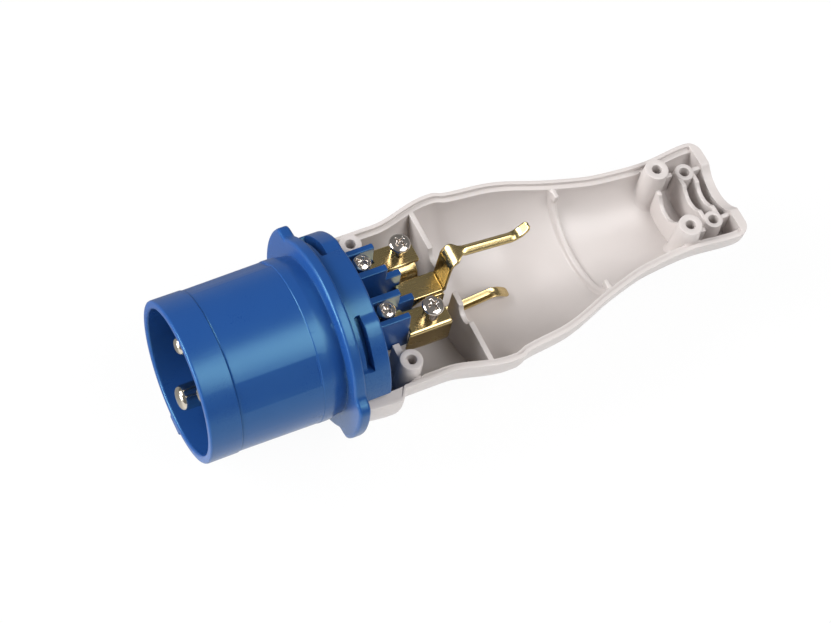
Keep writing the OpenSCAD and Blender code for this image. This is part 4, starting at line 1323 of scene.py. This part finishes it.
@dataclass
class EarthSpring:
    """Brass earth strip with its two spring arms."""

    material: Material
    thickness: float = 0.9
    strip_w: float = 5.6
    arm_w: float = 6.3
    reach_w: float = 3.0
    # Corners of the strip along X and Z, with their radii
    strip_path: tuple[Point3, ...] = ((50.0, -6.6, 0.0), (58.5, -6.6, 0.9), (61.3, 0.2, 0.9),
                                      (66.0, 0.2, 1.5), (70.25, 3.6, 1.5), (74.25, 3.6, 0.0))
    # Foot of each arm, then the top of its riser, its throat and its tip
    upper_foot: Point2 = (70.2, 4.55)
    upper_bends: tuple[Point2, ...] = ((76.05, 18.3), (96.9, 15.5), (99.9, 19.0))
    upper_taper: Point2 = (77.6, 79.8)
    lower_foot: Point2 = (71.15, 2.65)
    lower_bends: tuple[Point2, ...] = ((76.05, -17.4), (96.6, -14.2), (100.5, -17.3))
    lower_taper: Point2 = (76.4, 78.7)
    root_x: float = 75.6
    root_r: float = 0.8
    bend_r: float = 3.2
    curl_r: float = 3.6
    pitch: float = 0.5
    crown: float = 1.2
    # Where the ridge rises, before the taper's end, and falls, before the throat, with the run of each
    crown_rise: Point2 = (0.6, 1.8)
    crown_fall: Point2 = (2.2, 2.6)
    tip_len: float = 1.0
    tip_narrowing: float = 0.3
    tongue_w: float = 5.7
    plate_x: tuple[float, ...] = (63.5, 65.2, 65.5, 75.0)
    plate_lift: float = 0.4

    def strip(self) -> None:
        """Builds the strip that rises from the earth pin."""
        path, half = rounded(self.strip_path, 5), self.strip_w / 2
        mesher = Mesher()
        mesher.sheet(path, [(-half, half)] * len(path), self.thickness, across_y)
        mesher.make("earth_strip", "brass", self.material)

    def arm(self, foot: Point2, bends: Sequence[Point2], taper: Point2) -> Mesher:
        """Shapes one spring arm.

        Args:
            foot: Front end of its foot.
            bends: Top of its riser, its throat and its tip.
            taper: Both ends of its taper along the axis.

        Returns:
            The arm's surfaces, with a ridge along its reach that turns flat at the curled tip.
        """
        riser, throat, tip = bends
        path = rounded([(*foot, 0.0), (self.root_x, foot[1], self.root_r), (*riser, self.bend_r),
                        (*throat, self.curl_r), (*tip, 0.0)], 9)
        dense = [path[0]]
        for before, here in zip(path, path[1:]):
            count = max(1, int(math.dist(before, here) / self.pitch))
            dense += [tuple(Vector(before).lerp(Vector(here), i / count)) for i in range(1, count + 1)]
        spans, crowns = [], []
        away = math.copysign(self.crown, throat[1])
        (rise_at, rise_run), (fall_at, fall_run) = self.crown_rise, self.crown_fall
        for x, _ in dense:
            share = smooth((x - taper[0]) / (taper[1] - taper[0]))
            half = (self.arm_w + (self.reach_w - self.arm_w) * share) / 2
            half *= 1 - self.tip_narrowing * max(0.0, x - tip[0] + self.tip_len) ** 2
            spans.append((-half, half))
            swell = smooth((x - taper[1] + rise_at) / rise_run)
            crowns.append(away * swell * (1 - smooth((x - throat[0] + fall_at) / fall_run)))
        mesher = Mesher()
        mesher.sheet(dense, spans, self.thickness, across_y, crowns)
        return mesher

    def build(self) -> None:
        """Builds and dresses the strip and both arms, the upper one with its plate and tongue."""
        self.strip()
        upper = self.arm(self.upper_foot, self.upper_bends, self.upper_taper)
        plate = [(x, self.upper_foot[1] + self.plate_lift) for x in self.plate_x]
        spans = [(-w / 2, w / 2) for w in (self.tongue_w, self.tongue_w, self.arm_w, self.arm_w)]
        upper.sheet(plate, spans, self.thickness, across_y)
        upper.make("upper_spring_arm", "brass", self.material)
        lower = self.arm(self.lower_foot, self.lower_bends, self.lower_taper)
        lower.make("lower_spring_arm", "brass", self.material)


@dataclass(frozen=True)
class Lamp:
    """Soft square lamp that looks at the part."""

    name: str
    place: Point3
    size: float
    power: float

    def build(self) -> None:
        """Hangs the lamp."""
        data = bpy.data.lights.new(self.name, "AREA")
        data.shape, data.size, data.energy = "SQUARE", self.size, self.power
        lamp = put(self.name, data)
        lamp.location = self.place
        lamp.rotation_euler = Vector(self.place).to_track_quat("Z", "Y").to_euler()


@dataclass
class Studio:
    """Pale floor, white surround, soft lamps and the camera."""

    lamps: tuple[Lamp, ...] = (
        Lamp("key_lamp", (0.34, -0.45, 0.9), 0.7, 8.0),
        Lamp("side_lamp", (-0.8, 0.38, 0.64), 0.55, 9.5),
        Lamp("front_lamp", (-1.0, 0.05, 0.16), 0.5, 10.0),
    )
    surround: float = 0.25
    heights: Profile = ((0.0, 0.6), (0.04, 0.26), (0.15, 0.18), (0.5, 0.17), (1.0, 0.2))
    floor_half: float = 3.0
    floor_colour: Colour = (0.9, 0.9, 0.9, 1.0)
    floor_glow: float = 0.95
    floor_fade: Point2 = (-0.02, 0.015)
    far_dim: float = 0.7
    camera_place: Point3 = (-0.19775, -0.2261, 0.5117)
    right: Point3 = (0.8903, -0.4351, 0.1343)
    up: Point3 = (0.3215, 0.8094, 0.4915)
    back: Point3 = (-0.3226, -0.3944, 0.8605)
    lens: float = 91.42
    sensor: float = 36.0
    clip: Point2 = (0.01, 20.0)

    @staticmethod
    def ray(graph: Graph, kind: str) -> Wire:
        """1 for rays of one kind, such as those of the camera."""
        return graph.node("ShaderNodeLightPath", None, None, f"Is {kind} Ray")

    def mirrored(self, graph: Graph) -> Wire:
        """1 for the rays by which gloss and glass show what is around."""
        return 1 - (1 - self.ray(graph, "Glossy")) * (1 - self.ray(graph, "Transmission"))

    def seen(self, graph: Graph) -> Wire:
        """1 for the rays of the camera, of gloss and of glass."""
        return 1 - (1 - self.ray(graph, "Camera")) * (1 - self.mirrored(graph))

    def floor(self) -> None:
        """Lays a near-white floor that takes the part's shadow; gloss sees its far side darker."""
        grid = bmesh.new()
        bmesh.ops.create_grid(grid, x_segments=2, y_segments=2, size=self.floor_half)
        mesh = bpy.data.meshes.new("floor")
        grid.to_mesh(mesh)
        grid.free()
        made, graph = new_material("pale_floor")
        diffuse = graph.node("ShaderNodeBsdfDiffuse", None, {"Color": self.floor_colour})
        across = graph.node("ShaderNodeSeparateXYZ", None, {0: graph.spot()}, 1)
        start, stop = self.floor_fade
        far = graph.node("ShaderNodeMapRange", {"interpolation_type": "SMOOTHSTEP"},
                         {0: across, 1: start, 2: stop, 3: 0.0, 4: self.far_dim})
        shown = graph.blend(far * self.mirrored(graph), WHITE, BLACK)
        glow = graph.node("ShaderNodeEmission", None, {"Color": shown, "Strength": 1.0})
        graph.surface(graph.mix(self.floor_glow * self.seen(graph), diffuse, glow))
        mesh.materials.append(made)
        floor = put("floor", mesh)

    def world(self) -> None:
        """Sets the surround, white to the camera and dim overhead in gloss, and its soft light."""
        world = bpy.data.worlds.new("surround")
        world.use_nodes = True
        graph = Graph(world.node_tree)
        towards = graph.node("ShaderNodeTexCoord", None, None, "Generated")
        height = graph.node("ShaderNodeSeparateXYZ", None, {0: towards}, 2)
        stops = [(place, (level, level, level, 1.0)) for place, level in self.heights]
        sky = graph.node("ShaderNodeValToRGB", {"stops": stops}, {0: height})
        light, shown, plain = (
            graph.node("ShaderNodeBackground", None, {"Color": colour, "Strength": strength})
            for colour, strength in ((WHITE, self.surround), (sky, 1.0), (WHITE, 1.0)))
        mixed = graph.mix(self.ray(graph, "Camera"), graph.mix(self.mirrored(graph), light, shown), plain)
        graph.node("ShaderNodeOutputWorld", None, {"Surface": mixed})
        bpy.context.scene.world = world

    def camera(self) -> None:
        """Sets the camera at the photograph's place."""
        data = bpy.data.cameras.new("camera")
        data.lens, data.sensor_width, data.sensor_fit = self.lens, self.sensor, "HORIZONTAL"
        data.clip_start, data.clip_end = self.clip
        camera = put("camera", data)
        turn = Matrix((self.right, self.up, self.back)).transposed().to_4x4()
        camera.matrix_world = Matrix.Translation(self.camera_place) @ turn
        bpy.context.scene.camera = camera

    def build(self) -> None:
        """Builds the whole set."""
        bpy.context.scene.view_settings.view_transform = "Standard"
        self.floor()
        self.world()
        self.camera()
        for lamp in self.lamps:
            lamp.build()


# Distance of the line pin and the neutral pin from the middle
PIN_Y = 7.621

PINS = (
    Pin("earth_pin", y=0.0, z=-10.0, tip=0.5, radius=3.5, tail_r=2.9),
    Pin("line_pin", y=PIN_Y, z=4.4, tip=2.5, radius=2.5, tail_r=2.5),
    Pin("neutral_pin", y=-PIN_Y, z=4.4, tip=2.5, radius=2.5, tail_r=2.5),
)
CLAMP_SCREW = {"top": 14.3, "foot": 5.95, "x": 67.35, "head_r": 2.95, "head_h": 1.7, "thread_r": 2.2}
SCREWS = (
    PanScrew("line_pin_screw", y=PIN_Y, top=15.9, foot=4.4, turn=0.9),
    PanScrew("neutral_pin_screw", y=-PIN_Y, top=15.9, foot=4.4, turn=0.3),
    PanScrew("earth_pin_screw", y=0.0, top=-3.7, foot=-10.0),
    PanScrew("line_clamp_screw", y=10.15, turn=0.5, **CLAMP_SCREW),
    PanScrew("neutral_clamp_screw", y=-10.15, turn=0.15, **CLAMP_SCREW),
)


def main() -> None:
    """Builds every piece in order, then the studio."""
    logging.basicConfig(level=logging.INFO, format="%(name)s: %(message)s")
    blue, grey, brass = BLUE_PLASTIC.material(), GREY_PLASTIC.material(), BRASS.material()
    nickel, steel = NICKEL.material(), SCREW_STEEL.material()
    PlugFront(blue).build()
    HalfShell(grey).build()
    for pin in PINS:
        pin.build(nickel)
    for screw in SCREWS:
        screw.build(steel)
    Contact(brass, Side.LINE, "line_contact").build()
    Contact(brass, Side.NEUTRAL, "neutral_contact").build()
    EarthSpring(brass).build()
    Studio().build()


if __name__ == "__main__":
    main()
